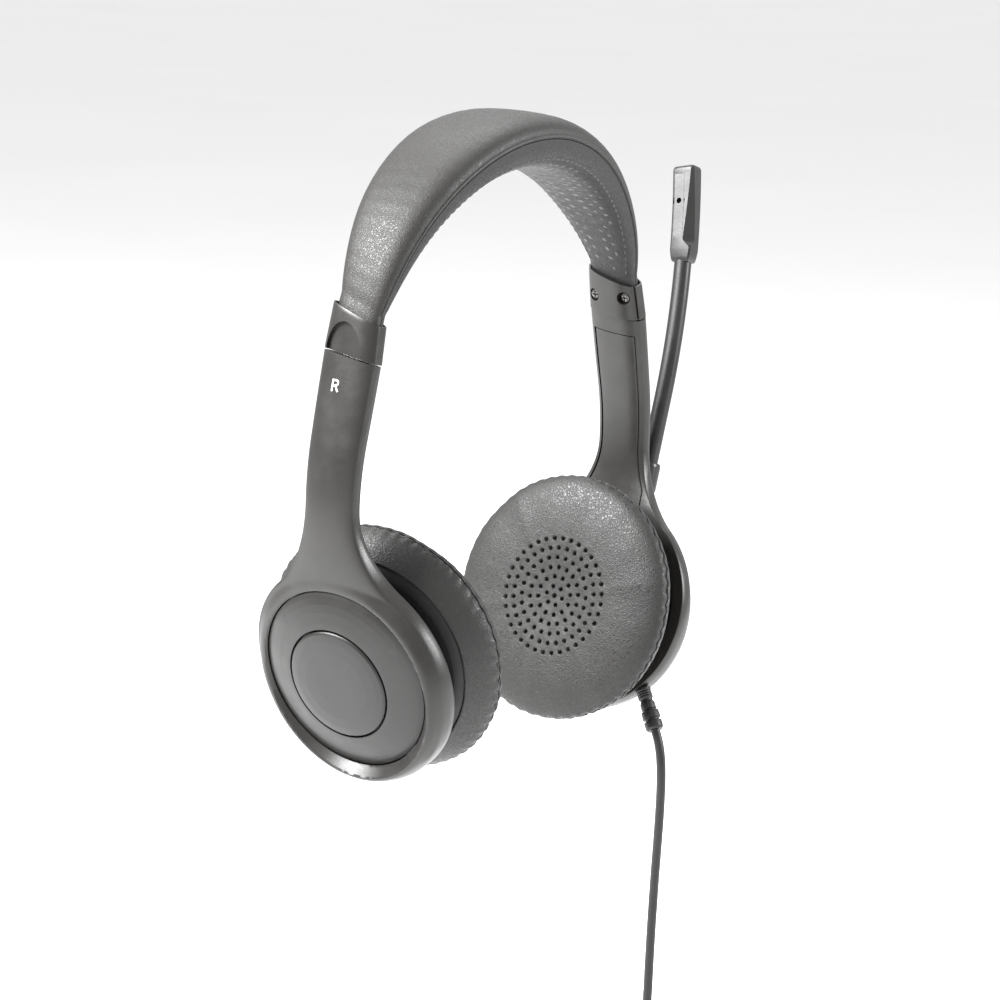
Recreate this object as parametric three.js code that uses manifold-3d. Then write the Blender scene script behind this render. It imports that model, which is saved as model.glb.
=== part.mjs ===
// Office headset: padded headband, two sliding arms with ear cups on gimbals,
// a turning microphone boom on the left cup and a USB cord.
// Millimetres, +Z up, +X to the wearer's left, -Y to the front.
// The origin is the underside of the headband lining, where it rests on the head.
import * as THREE from "three";
import { mergeVertices } from "three/addons/utils/BufferGeometryUtils.js";
import Module from "manifold-3d";

const wasm = await Module();
wasm.setup();

// ---------------------------------------------------------------- dimensions
const rad = THREE.MathUtils.degToRad;
const GAP = 0.3;

// headband arch: a circle through the seam between cover and lining
const ARCH_R = 60;
const ARCH_Z = -51.6;
const COLLAR_DEG = 12.6;
const BAND = {
  widthEnd: 13.5, widthTop: 31, outerEnd: 2.75, outerTop: 6.1, innerEnd: 2.85, innerTop: 8.4, plain: 0.1,
  spread: 0.9,
};
const SKIN = 1.1;
const SPRING = { halfWidth: 3.8, bottom: -1.5, top: -1.05 };

// collar that ends the band; heights run along the arm direction
const COLLAR = {
  halfHeight: 5.35, topHalfWidth: 7.6, bottomHalfWidth: 8.2, halfThick: 4, innerThick: 4.45, innerPart: 0.92,
};
const SOCKET = { clear: 0.45, outer: 3.3, inner: 3.85, power: 3, beyond: 6 };
const TOP_SLANT = Math.tan(rad(18));
const BOTTOM_SLANT = Math.tan(rad(8.5));
const EDGE_HALF = 0.9;
const FACE_POWER = 2.4;
const COLLAR_SPLIT = -1.6;
const NOTCH = { y: 0.9, halfWidth: 5.7, height: 8, depth: 1 };
const SCREWS_Y = [5.0, -4.6];
const SCREW = { headR: 1.5, headH: 0.8, shankR: 0.8, shankH: 3.2, wellR: 1.8 };

// slider strip between arm and band
const STRIP = { yMin: -2.7, yMax: 3.1, bottom: -0.8, top: 0.2, above: 16.4, below: 14.9 };

// arm: straight length, then an arc into the plane of the ear-cup ring
const ARM_STRAIGHT = 26.4;
const ARM_ARC_R = 74;
const RING_DEG = 17;
const ARM_GAP = 0.4;
const ARM = { halfThick: 3.5, lowHalfThick: 3.1, halfWidth: 7.7, filletR: 30 };
const RING = {
  outerR: 30, boreR: 24.9, cavityR: 26.5, rimHigh: -0.5, rimFall: 2.8, shoulder: 4.5, bevel: 2.4, round: 2.2,
};
const SPINE_Q = -6.4;
const RING_BACK = -9.5;
const RIM_LOW_DEG = -30;

// ear cup on its gimbal; z runs inboard from the pivot, on the ring axis
const PIVOT_Q = -8;
const GIMBAL = { inR: 9.8, outR: 12.2, halfH: 1.3 };
const CUP_REST = { r: { swivel: 5.6, tilt: 3.6 }, l: { swivel: 1, tilt: 3 } };
const CUP = { plateR: 27.6, rimZ: 11.8, edgeZ: 7.3, bossR: 5.6, wall: 1.4, shoulderR: 25.2, shoulderZ: 6.1 };
const PAD = { outR: 34, backZ: 6.9, seamZ: 15, faceZ: 20.3, boreR: 28, roofZ: 13.7 };

// boom on the left cup
const BOOM = { axisQ: 2.6, offset: 2, halfWidth: 2.8, sleeveStart: 29.9, sleeveEnd: 42, rodEnd: 100.5, tip: 127 };
const BOOM_CURVE = { start: 60, depth: 560 };
const SLEEVE_R = 3.3;
const ROD_R = 2.4;
const MIC = { halfWidth: 3.4, halfThick: 2.5, bevel: 2.6, corner: 0.6, bevelFrom: 107, portUp: 117, portX: -1.1 };
const MIC_PLATE = { from: 106.8, to: 124.7, xMin: -2.6, xMax: 0.4, gap: 0.3 };

// cord and plug
const CORD_R = 1.3;
const RELIEF = { up: -20.9, front: 21.3, q: -7.2, length: 12.5 };
const RELIEF_DIR = new THREE.Vector2(-0.843, 0.538);

// ---------------------------------------------------------------- materials
function paint(color, roughness, metalness = 0) {
  return new THREE.MeshStandardMaterial({ color, roughness, metalness });
}
const LOOK = {
  plastic: () => paint(0x3a3836, 0.5),
  innerPlastic: () => paint(0x2b2b2b, 0.6),
  leather: () => paint(0x2e2c2b, 0.65),
  foam: () => paint(0x3c3c3c, 0.95),
  steel: () => paint(0x9a9a98, 0.35, 1),
  screw: () => paint(0x4a4a4a, 0.4, 1),
  rubber: () => paint(0x202020, 0.8),
  cloth: () => paint(0x191919, 0.95),
  cone: () => paint(0x8c8674, 0.6),
};

// ---------------------------------------------------------------- mesh helpers
function indexed(positions, triangles) {
  const geometry = new THREE.BufferGeometry();
  geometry.setAttribute("position", new THREE.Float32BufferAttribute(positions, 3));
  geometry.setIndex(triangles);
  return outward(geometry);
}

function signedVolume(geometry) {
  const p = geometry.getAttribute("position");
  const index = geometry.getIndex().array;
  const [a, b, c] = [new THREE.Vector3(), new THREE.Vector3(), new THREE.Vector3()];
  let volume = 0;
  for (let i = 0; i < index.length; i += 3) {
    a.fromBufferAttribute(p, index[i]);
    b.fromBufferAttribute(p, index[i + 1]);
    c.fromBufferAttribute(p, index[i + 2]);
    volume += a.dot(b.cross(c)) / 6;
  }
  return volume;
}

function outward(geometry) {
  if (signedVolume(geometry) < 0) {
    const index = geometry.getIndex().array;
    for (let i = 0; i < index.length; i += 3) {
      [index[i + 1], index[i + 2]] = [index[i + 2], index[i + 1]];
    }
  }
  return geometry;
}

function welded(geometry) {
  const bare = geometry.index ? geometry.clone() : mergeVertices(geometry.clone());
  bare.deleteAttribute("normal");
  bare.deleteAttribute("uv");
  return outward(mergeVertices(bare, 1e-4));
}

// closed skin through a row of outlines; place(i, point) puts outline i in space
function loft(rows, place) {
  const turnedRound = THREE.ShapeUtils.isClockWise(rows[0]);
  const outlines = turnedRound ? rows.map((row) => [...row].reverse()) : rows;
  const count = outlines[0].length;
  const positions = [];
  outlines.forEach((outline, i) => outline.forEach((point) => positions.push(...place(i, point).toArray())));
  const triangles = [];
  for (let i = 0; i + 1 < outlines.length; i++) {
    for (let j = 0; j < count; j++) {
      const k = (j + 1) % count;
      const [a, b, c, d] = [i * count + j, i * count + k, (i + 1) * count + k, (i + 1) * count + j];
      triangles.push(a, b, c, a, c, d);
    }
  }
  const last = (outlines.length - 1) * count;
  const firstCap = THREE.ShapeUtils.triangulateShape(outlines[0], []);
  const lastCap = THREE.ShapeUtils.triangulateShape(outlines[outlines.length - 1], []);
  firstCap.forEach(([a, b, c]) => triangles.push(c, b, a));
  lastCap.forEach(([a, b, c]) => triangles.push(last + a, last + b, last + c));
  return indexed(positions, triangles);
}

function toSolid(geometry) {
  const mesh = welded(geometry);
  return new wasm.Manifold(new wasm.Mesh({
    numProp: 3,
    vertProperties: new Float32Array(mesh.getAttribute("position").array),
    triVerts: new Uint32Array(mesh.getIndex().array),
  }));
}

function fromSolid(solid) {
  const mesh = solid.getMesh();
  return indexed(Array.from(mesh.vertProperties), Array.from(mesh.triVerts));
}

function combine(base, added, removed) {
  let solid = toSolid(base);
  added.forEach((geometry) => { solid = solid.add(toSolid(geometry)); });
  removed.forEach((geometry) => { solid = solid.subtract(toSolid(geometry)); });
  return fromSolid(solid);
}
const cut = (base, ...removed) => combine(base, [], removed);
const join = (base, ...added) => combine(base, added, []);

// frame with the given local axes and origin
function frameOf(x, y, z, origin) {
  return new THREE.Matrix4().makeBasis(x, y, z).setPosition(origin);
}

function box(frame, [x0, x1], [y0, y1], [z0, z1]) {
  const geometry = new THREE.BoxGeometry(x1 - x0, y1 - y0, z1 - z0);
  geometry.translate((x0 + x1) / 2, (y0 + y1) / 2, (z0 + z1) / 2);
  return welded(geometry.applyMatrix4(frame));
}

// solid of revolution about the frame's z axis from [radius, z] points
function turned(frame, profile, segments = 40) {
  const points = profile.map(([r, z]) => new THREE.Vector2(r, z));
  const closedOnAxis = profile[0][0] === 0 && profile[profile.length - 1][0] === 0;
  if (!closedOnAxis) points.push(points[0].clone());
  const geometry = new THREE.LatheGeometry(points, segments);
  geometry.rotateX(Math.PI / 2);
  geometry.applyMatrix4(frame);
  return welded(geometry);
}

function rod(frame, radius, z0, z1, segments = 16) {
  return turned(frame, [[0, z0], [radius, z0], [radius, z1], [0, z1]], segments);
}

function ellipse(rx, ry, sides) {
  return Array.from({ length: sides }, (_, i) => {
    const angle = (2 * Math.PI * i) / sides;
    return new THREE.Vector2(rx * Math.cos(angle), ry * Math.sin(angle));
  });
}

// rectangle with chamfered corners, counter-clockwise
function chamfered(hx, hy, c) {
  return [
    [hx, -hy + c], [hx, hy - c], [hx - c, hy], [-hx + c, hy],
    [-hx, hy - c], [-hx, -hy + c], [-hx + c, -hy], [hx - c, -hy],
  ].map(([x, y]) => new THREE.Vector2(x, y));
}

const V = (x, y, z) => new THREE.Vector3(x, y, z);
const steps = (from, to, count) => Array.from({ length: count + 1 }, (_, i) => from + ((to - from) * i) / count);
const mix = (a, b, t) => a + (b - a) * t;
const smooth = (from, to, x) => THREE.MathUtils.smoothstep(x, from, to);

// ---------------------------------------------------------------- headband
// A place on the arch: along is the arc length above the collar centre on the left side.
const HALF_ARC = ARCH_R * (Math.PI / 2 - rad(COLLAR_DEG));

function onArch(along, y, n) {
  const angle = rad(COLLAR_DEG) + along / ARCH_R;
  const radius = ARCH_R + n;
  return V(radius * Math.cos(angle), y, ARCH_Z + radius * Math.sin(angle));
}

function bandShape(along) {
  const side = along <= HALF_ARC ? along : 2 * HALF_ARC - along;
  const u = THREE.MathUtils.clamp((side / HALF_ARC - BAND.plain) / (1 - BAND.plain), 0, 1);
  const swell = Math.sin((u * Math.PI) / 2);
  return {
    halfWidth: mix(BAND.widthEnd, BAND.widthTop, swell ** BAND.spread) / 2,
    outer: mix(BAND.outerEnd, BAND.outerTop, 1 - (1 - u) ** 3),
    inner: mix(BAND.innerEnd, BAND.innerTop, swell ** BAND.spread),
    slant: TOP_SLANT * (1 - smooth(0, 0.4, u)) * (along <= HALF_ARC ? 1 : -1),
  };
}

// y, n points of a rounded half section from the -y side to the +y side
function halfSection(halfWidth, height, sign, power, count = 8) {
  return steps(0, Math.PI, count).map((angle) => {
    const y = -Math.cos(angle);
    const n = Math.sin(angle);
    const spread = Math.sign(y) * Math.abs(y) ** (2 / power);
    return new THREE.Vector2(halfWidth * spread, sign * height * n ** (2 / power));
  });
}

function shellOutline(halfWidth, height, sign, power) {
  const outer = halfSection(halfWidth, height, sign, power);
  const inner = halfSection(halfWidth - SKIN, height - SKIN, sign, power).reverse();
  return [...outer, ...inner];
}

function sweepBand(from, to, count, outlineAt, lift = 0) {
  const stations = steps(from, to, count);
  const outlines = stations.map((along) => outlineAt(bandShape(along)));
  return loft(outlines, (i, p) => onArch(stations[i] + p.x * bandShape(stations[i]).slant, p.x, p.y + lift));
}

const COVER_FROM = COLLAR.halfHeight - 1.2;
const wholeBand = [COVER_FROM, 2 * HALF_ARC - COVER_FROM];

const COVER_POWER = 2.7;
const LINING_POWER = 2.9;

function bandCover() {
  return sweepBand(...wholeBand, 22, (s) => shellOutline(s.halfWidth, s.outer, 1, COVER_POWER), 0.15);
}

function bandLining() {
  return sweepBand(...wholeBand, 22, (s) => shellOutline(s.halfWidth, s.inner, -1, LINING_POWER), -0.15);
}

// half width left inside a skin at the given height above the seam
function roomAt(halfWidth, height, n, power) {
  return (halfWidth - SKIN) * (1 - (n / (height - SKIN)) ** power) ** (1 / power);
}

function bandFoam() {
  const from = STRIP.above + 3;
  return sweepBand(from, 2 * HALF_ARC - from, 16, (s) =>
    halfSection(s.halfWidth - SKIN - 0.6, s.outer - SKIN - 0.5 + 0.7, 1, COVER_POWER, 6), -0.7);
}

function bandPad() {
  const from = 14;
  const top = SPRING.bottom - 0.35;
  return sweepBand(from, 2 * HALF_ARC - from, 16, (s) => {
    const room = roomAt(s.halfWidth, s.inner, -top, LINING_POWER);
    return halfSection(room * 0.97 - 0.5, s.inner - SKIN + top - 0.25, -1, LINING_POWER - 0.5, 6);
  }, top);
}

function bandSpring() {
  const outline = [
    [-SPRING.halfWidth, SPRING.bottom], [SPRING.halfWidth, SPRING.bottom],
    [SPRING.halfWidth, SPRING.top], [-SPRING.halfWidth, SPRING.top],
  ].map(([y, n]) => new THREE.Vector2(y, n));
  const from = -2.6;
  const stations = steps(from, 2 * HALF_ARC - from, 30);
  const strip = loft(stations.map(() => outline), (i, p) => onArch(stations[i], p.x, p.y));
  const notches = SCREWS_Y.flatMap((y) => {
    const left = rod(collarFrame(y), 1.1, -4, 4, 10);
    return [left, mirrored(left)];
  });
  return cut(strip, ...notches);
}

// ---------------------------------------------------------------- sides
// Everything on a side is made for the wearer's left and mirrored for the right.
function mirrored(geometry) {
  return outward(geometry.clone().applyMatrix4(new THREE.Matrix4().makeScale(-1, 1, 1)));
}

// half thickness at y of a section with crowned faces and blunt edges
const lens = (y, halfWidth, centre) =>
  EDGE_HALF + (centre - EDGE_HALF) * Math.sqrt(Math.max(0, 1 - Math.abs(y / halfWidth) ** FACE_POWER));
const across = (halfWidth, count = 8) => steps(0, Math.PI, count).map((a) => -halfWidth * Math.cos(a));

// The arm's middle line. up is the distance along it above the ring centre, n points outward.
const ARC_LENGTH = ARM_ARC_R * rad(COLLAR_DEG + RING_DEG);
const ARC_START = RING.boreR;
const ARC_END = ARC_START + ARC_LENGTH;
const COLLAR_UP = ARC_END + ARM_STRAIGHT;
const COLLAR_AT = onArch(0, 0, 0);

function direction(deg) {
  const angle = rad(deg);
  return { up: V(-Math.sin(angle), 0, Math.cos(angle)), out: V(Math.cos(angle), 0, Math.sin(angle)) };
}
const collarDir = direction(COLLAR_DEG);
const ringDir = direction(-RING_DEG);
const arcTop = COLLAR_AT.clone().addScaledVector(collarDir.up, -ARM_STRAIGHT);
const arcCentre = arcTop.clone().addScaledVector(collarDir.out, -ARM_ARC_R);
const arcBottom = arcCentre.clone().addScaledVector(ringDir.out, ARM_ARC_R);
const RING_CENTRE = arcBottom.clone()
  .addScaledVector(ringDir.up, -RING.boreR)
  .addScaledVector(ringDir.out, -SPINE_Q);

function onSpine(up, y, n) {
  let [point, dir] = [arcBottom, ringDir];
  if (up >= ARC_END) {
    [point, dir] = [arcTop, collarDir];
    point = point.clone().addScaledVector(dir.up, up - ARC_END);
  } else if (up > ARC_START) {
    const turn = (up - ARC_START) / ARM_ARC_R;
    dir = direction(-RING_DEG + THREE.MathUtils.radToDeg(turn));
    point = arcCentre.clone().addScaledVector(dir.out, ARM_ARC_R);
  } else {
    point = point.clone().addScaledVector(dir.up, up - ARC_START);
  }
  return point.clone().addScaledVector(dir.out, n).setY(y);
}

// frame on the collar: z outward through the thickness, x up, y to the back
function collarFrame(y) {
  const at = COLLAR_AT.clone().setY(y);
  return frameOf(collarDir.up, V(0, -1, 0), collarDir.out, at);
}

// frame on the ear-cup ring: z outward, x up, y to the front
const RING_FRAME = frameOf(ringDir.up, V(0, -1, 0), ringDir.out, RING_CENTRE);

// ---------------------------------------------------------------- collar
function collarBlock(outlineAt) {
  const levels = [-1, 0, 1];
  const outlines = levels.map((level) =>
    outlineAt(mix(COLLAR.bottomHalfWidth, COLLAR.topHalfWidth, (level + 1) / 2)));
  return loft(outlines, (i, p) => {
    const slant = mix(BOTTOM_SLANT, TOP_SLANT, (levels[i] + 1) / 2);
    return onSpine(COLLAR_UP + levels[i] * COLLAR.halfHeight + p.x * slant, p.x, p.y);
  });
}

function bandSocket() {
  const stations = [COVER_FROM - GAP, COLLAR.halfHeight + SOCKET.beyond];
  const halfWidth = BAND.widthEnd / 2 + SOCKET.clear;
  const outlines = stations.map(() => [
    ...halfSection(halfWidth, SOCKET.outer, 1, SOCKET.power, 8),
    ...halfSection(halfWidth, SOCKET.inner, -1, SOCKET.power, 8).reverse().slice(1, -1),
  ]);
  return loft(outlines, (i, p) => onSpine(COLLAR_UP + stations[i] + p.x * TOP_SLANT, p.x, p.y));
}

function stripSlot(from, to) {
  const frame = frameOf(collarDir.up, V(0, -1, 0), collarDir.out, COLLAR_AT);
  return box(frame, [from, to], [-STRIP.yMax - GAP, -STRIP.yMin + GAP],
    [STRIP.bottom - GAP, STRIP.top + GAP]);
}

function springPocket() {
  const frame = frameOf(collarDir.up, V(0, -1, 0), collarDir.out, COLLAR_AT);
  return box(frame, [-3, 12], [-SPRING.halfWidth - GAP, SPRING.halfWidth + GAP],
    [SPRING.bottom - 0.45, SPRING.top + GAP]);
}

function thumbNotch() {
  const outline = steps(0, Math.PI, 12).map((a) =>
    new THREE.Vector2(NOTCH.y + NOTCH.halfWidth * Math.cos(a), NOTCH.height * Math.sin(a)));
  outline.push(new THREE.Vector2(NOTCH.y - NOTCH.halfWidth, -4), new THREE.Vector2(NOTCH.y + NOTCH.halfWidth, -4));
  const floors = [0, 8];
  return loft([outline, outline], (i, p) => {
    const up = COLLAR_UP - COLLAR.halfHeight + p.y + p.x * BOTTOM_SLANT;
    const skin = lens(p.x, COLLAR.bottomHalfWidth, COLLAR.halfThick);
    return onSpine(up, p.x, skin - NOTCH.depth + floors[i]);
  });
}

function collarOuter() {
  const block = collarBlock((w) => {
    const ys = across(w);
    const front = ys.map((y) => new THREE.Vector2(y, lens(y, w, COLLAR.halfThick)));
    const back = [...ys].reverse().map((y) =>
      new THREE.Vector2(y, Math.max(-lens(y, w, COLLAR.halfThick), COLLAR_SPLIT)));
    return [...front, ...back];
  });
  const pilots = SCREWS_Y.map((y) => rod(collarFrame(y), 1.0, -3, 1.2, 8));
  return cut(block, bandSocket(), stripSlot(-14, 14), springPocket(), thumbNotch(), ...pilots);
}

function collarInner() {
  const block = collarBlock((w) => {
    const ys = across(w * COLLAR.innerPart);
    const face = ys.map((y) => new THREE.Vector2(y, -lens(y, w, COLLAR.innerThick)));
    const back = [...ys].reverse().map((y) => new THREE.Vector2(y, COLLAR_SPLIT - GAP));
    return [...face, ...back];
  });
  const wells = SCREWS_Y.flatMap((y) => {
    const frame = collarFrame(y);
    return [rod(frame, 1.05, -6, 0, 8), rod(frame, SCREW.wellR, -6, -2.3, 14)];
  });
  return cut(block, bandSocket(), springPocket(), ...wells);
}

// Pan-head screw in its well, with a cross recess.
function collarScrew(y) {
  const frame = collarFrame(y);
  const head = -2.5;
  const body = turned(frame, [
    [0, head - SCREW.headH], [SCREW.headR * 0.7, head - SCREW.headH], [SCREW.headR, head - 0.35],
    [SCREW.headR, head], [SCREW.shankR, head], [SCREW.shankR, head + SCREW.shankH], [0, head + SCREW.shankH],
  ], 12);
  const depth = [head - SCREW.headH - 1, head - 0.35];
  return cut(body,
    box(frame, [-0.85, 0.85], [-0.2, 0.2], depth),
    box(frame, [-0.2, 0.2], [-0.85, 0.85], depth));
}

// ---------------------------------------------------------------- arm
function armHalfWidth(up) {
  const top = COLLAR_UP - COLLAR.halfHeight - ARM_GAP;
  const centreY = ARM.halfWidth + ARM.filletR;
  const centreUp = Math.sqrt((RING.outerR + ARM.filletR) ** 2 - centreY ** 2);
  const tangentUp = (centreUp * RING.outerR) / (RING.outerR + ARM.filletR);
  if (up <= tangentUp) return Math.sqrt(Math.max(0, RING.outerR ** 2 - up ** 2));
  if (up < centreUp) return centreY - Math.sqrt(ARM.filletR ** 2 - (centreUp - up) ** 2);
  return mix(ARM.halfWidth, COLLAR.bottomHalfWidth, smooth(centreUp, top, up));
}

function smoothMax(a, b, k) {
  const h = THREE.MathUtils.clamp(0.5 + (0.5 * (a - b)) / k, 0, 1);
  return mix(b, a, h) + k * h * (1 - h);
}

function ringSkin(up, y) {
  const radius = Math.hypot(up, y);
  const angle = Math.atan2(-y, up) - rad(RIM_LOW_DEG);
  const low = (1 + Math.cos(angle)) / 2;
  const rim = RING.rimHigh - RING.rimFall * low;
  const crestR = RING.boreR + RING.bevel * (1 - low);
  const beyond = Math.max(0, radius - crestR) / (RING.outerR - crestR);
  const within = THREE.MathUtils.clamp((crestR - radius) / RING.bevel, 0, 1);
  return rim - RING.shoulder * beyond ** RING.round - RING.rimFall * within - SPINE_Q;
}

function armThickness(up) {
  const top = COLLAR_UP - COLLAR.halfHeight;
  return mix(ARM.lowHalfThick, ARM.halfThick, smooth(30, top, up));
}

function armOuterSkin(up, y) {
  const w = armHalfWidth(up);
  const fade = Math.max(0, ARC_START - up) * 0.12;
  const arm = lens(y, w, armThickness(up) - fade);
  if (up > 40) return arm;
  return smoothMax(arm, ringSkin(up, y), 1.2);
}

function armInnerSkin(up, y) {
  const arm = lens(y, armHalfWidth(up), armThickness(up));
  const plane = SPINE_Q - RING_BACK;
  return -mix(plane, arm, smooth(26, 44, up));
}

const ARM_TOP = COLLAR_UP - COLLAR.halfHeight - ARM_GAP;
const topSlant = (up) => BOTTOM_SLANT * smooth(ARM_TOP - 14, ARM_TOP, up);

function armStations(from, to) {
  const low = steps(Math.PI - 0.07, Math.PI / 2, 6).map((a) => RING.outerR * Math.cos(a));
  const all = [...low, 8, 15, 21, 26, 31, 36, 41, 47, 54, 62, 70, 78];
  return [from, ...all.filter((up) => up > from + 0.5 && up < to - 0.5), to];
}

function armSolid(stations, halfWidthAt, outerAt, innerAt, count) {
  const outlines = stations.map((up) => {
    const ys = across(halfWidthAt(up), count);
    const front = ys.map((y) => new THREE.Vector2(y, outerAt(up, y)));
    const back = [...ys].reverse().map((y) => new THREE.Vector2(y, innerAt(up, y)));
    return [...front, ...back];
  });
  return loft(outlines, (i, p) => onSpine(stations[i] + p.x * topSlant(stations[i]), p.x, p.y));
}

const ARM_COVER = { from: 27.5, to: 79, margin: 1.5, depth: 3, thick: 1.2 };
const coverHalfWidth = (up) => Math.min(armHalfWidth(up) - ARM_COVER.margin, 9.5);

function armShell() {
  const body = armSolid(armStations(RING.outerR * Math.cos(Math.PI - 0.07), ARM_TOP),
    armHalfWidth, armOuterSkin, armInnerSkin, 8);
  const channel = armSolid(armStations(20, ARM_COVER.to), coverHalfWidth,
    (up, y) => armInnerSkin(up, y) + ARM_COVER.depth, (up, y) => armInnerSkin(up, y) - 3, 4);
  return cut(body, channel,
    rod(RING_FRAME, RING.boreR, -14, 6, 40),
    rod(RING_FRAME, RING.cavityR, -14, -6, 40),
    stripSlot(-STRIP.below - 0.6, 0));
}

function armCover() {
  return armSolid(armStations(ARM_COVER.from, ARM_COVER.to - GAP), (up) => coverHalfWidth(up) - 0.25,
    (up, y) => armInnerSkin(up, y) + ARM_COVER.thick, (up, y) => armInnerSkin(up, y) + 0.15, 4);
}

function sliderStrip() {
  const frame = frameOf(collarDir.up, V(0, -1, 0), collarDir.out, COLLAR_AT);
  const strip = box(frame, [-STRIP.below, STRIP.above], [-STRIP.yMax, -STRIP.yMin], [STRIP.bottom, STRIP.top]);
  const notches = steps(3, 15, 6).map((up) => {
    const at = frameOf(V(0, 1, 0), collarDir.up, collarDir.out,
      onSpine(COLLAR_UP + up, STRIP.yMax, (STRIP.bottom + STRIP.top) / 2));
    return rod(at, 0.45, -1, 1, 6);
  });
  return cut(strip, ...notches);
}

// ---------------------------------------------------------------- ring fittings
const DISH_PROFILE = [
  [0, -3.2], [14, -3.2], [19.5, -4.1], [24.6, -4.1], [24.6, -3.5], [20, -1.55], [15.3, -0.3], [15.1, -1.7], [0, -1.7],
];

function dish() {
  return turned(RING_FRAME, DISH_PROFILE, 36);
}

function cap() {
  return turned(RING_FRAME, [[0, -1.4], [14.8, -1.4], [14.8, -0.3], [14.2, 0.2], [10, 0.85], [6, 1], [0, 1]], 28);
}

// carries the gimbal: a hoop with a bar across it, two lugs and their pins
function bracket() {
  const hoop = turned(RING_FRAME, [[20, -5.3], [24.4, -5.3], [24.4, -4.4], [20, -4.4]], 32);
  const bar = box(RING_FRAME, [-22, 22], [-5, 5], [-5.3, -4.4]);
  const lugs = [1, -1].map((s) => box(RING_FRAME, s > 0 ? [12.8, 15.2] : [-15.2, -12.8], [-3, 3], [-9.4, -5]));
  const pinFrame = frameOf(V(0, -1, 0), ringDir.out, ringDir.up, ringPoint(0, 0, PIVOT_Q));
  const pins = [[10.3, 13.2], [-13.2, -10.3]].map(([z0, z1]) => rod(pinFrame, 0.85, z0, z1, 10));
  return join(hoop, bar, ...lugs, ...pins);
}

function ringPoint(up, front, q) {
  return V(up, front, q).applyMatrix4(RING_FRAME);
}

// ---------------------------------------------------------------- gimbal and cup
// frame at the pivot: z inboard, x up, y to the back
function cupFrame(swivelDeg, tiltDeg) {
  const base = frameOf(ringDir.up, V(0, 1, 0), ringDir.out.clone().negate(), ringPoint(0, 0, PIVOT_Q));
  const swivel = new THREE.Matrix4().makeRotationX(-rad(swivelDeg));
  const tilt = new THREE.Matrix4().makeRotationY(-rad(tiltDeg));
  return base.multiply(swivel).multiply(tilt);
}

function gimbalRing(frame) {
  const ring = turned(frame, [
    [GIMBAL.inR, -GIMBAL.halfH], [GIMBAL.outR, -GIMBAL.halfH],
    [GIMBAL.outR, GIMBAL.halfH], [GIMBAL.inR, GIMBAL.halfH],
  ], 24);
  const alongX = frame.clone().multiply(new THREE.Matrix4().makeRotationY(Math.PI / 2));
  const alongY = frame.clone().multiply(new THREE.Matrix4().makeRotationX(Math.PI / 2));
  return cut(ring, rod(alongX, 1.15, -16, 16, 10), rod(alongY, 1.15, -16, 16, 10));
}

function cupBack(frame) {
  const { plateR, rimZ, edgeZ, bossR, wall, shoulderR, shoulderZ } = CUP;
  const shell = turned(frame, [
    [0, -1], [bossR, -1], [bossR, 3], [14, 4], [shoulderR, shoulderZ], [plateR, edgeZ],
    [plateR, rimZ], [plateR - wall, rimZ], [plateR - wall, 7.9], [14, 5.4], [0, 4.4],
  ], 32);
  const alongY = frame.clone().multiply(new THREE.Matrix4().makeRotationX(Math.PI / 2));
  return join(shell, rod(alongY, 0.85, -11.7, 11.7, 10));
}

function driverMagnet(frame) {
  return turned(frame, [[0, 4.9], [8, 5.2], [8.8, 5.8], [8.8, 8.9], [0, 8.9]], 20);
}

function driverFrame(frame) {
  return turned(frame, [[9.2, 8.0], [19.6, 10.6], [19.6, 11.7], [17.4, 11.7], [9.2, 9.3]], 28);
}

function driverCone(frame) {
  return turned(frame, [
    [0, 12.5], [7, 12.1], [9, 11.5], [16.9, 12.1], [16.9, 12.5], [9, 12], [7, 12.6], [0, 13.1],
  ], 20);
}

function baffle(frame) {
  return turned(frame, [[17.3, 12.1], [27.4, 12.1], [27.4, 13.3], [17.3, 13.3]], 28);
}

// soft pad stretched over the cup, seen from the head as one round cushion
function earPad(frame) {
  return turned(frame, [
    [0, PAD.roofZ], [PAD.boreR, PAD.roofZ], [PAD.boreR, PAD.backZ], [30.8, 8], [33.1, 10.6],
    [PAD.outR, PAD.seamZ], [33.5, 17], [31.4, 19], [27, PAD.faceZ - 0.2], [20, PAD.faceZ], [0, PAD.faceZ],
  ], 36);
}

// ---------------------------------------------------------------- boom
const boomFront = (up) => BOOM.offset - Math.max(0, up - BOOM_CURVE.start) ** 2 / BOOM_CURVE.depth;
const boomSlope = (up) => (-2 * Math.max(0, up - BOOM_CURVE.start)) / BOOM_CURVE.depth;

// section point on the boom: p.x across to the front, p.y outward
function onBoom(up, p) {
  const slope = boomSlope(up);
  const length = Math.hypot(1, slope);
  return ringPoint(up - (p.x * slope) / length, boomFront(up) + p.x / length, BOOM.axisQ + p.y);
}

function boomHub() {
  const web = box(RING_FRAME, [17, 23.6], [BOOM.offset - BOOM.halfWidth, BOOM.offset + BOOM.halfWidth], [-3.2, 1]);
  const stations = [17, 20, 24, 29.6];
  const heights = [[0, 1.2], [0.05, 2.7], [0.1, 4.2], [0.1, 5.1]];
  const tongue = loft(heights.map(([low, high]) => {
    const middle = (low + high) / 2;
    return chamfered(BOOM.halfWidth, (high - low) / 2, 0.5).map((p) => p.setY(p.y + middle - BOOM.axisQ));
  }), (i, p) => onBoom(stations[i], p));
  return join(dish(), web, tongue);
}

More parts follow.
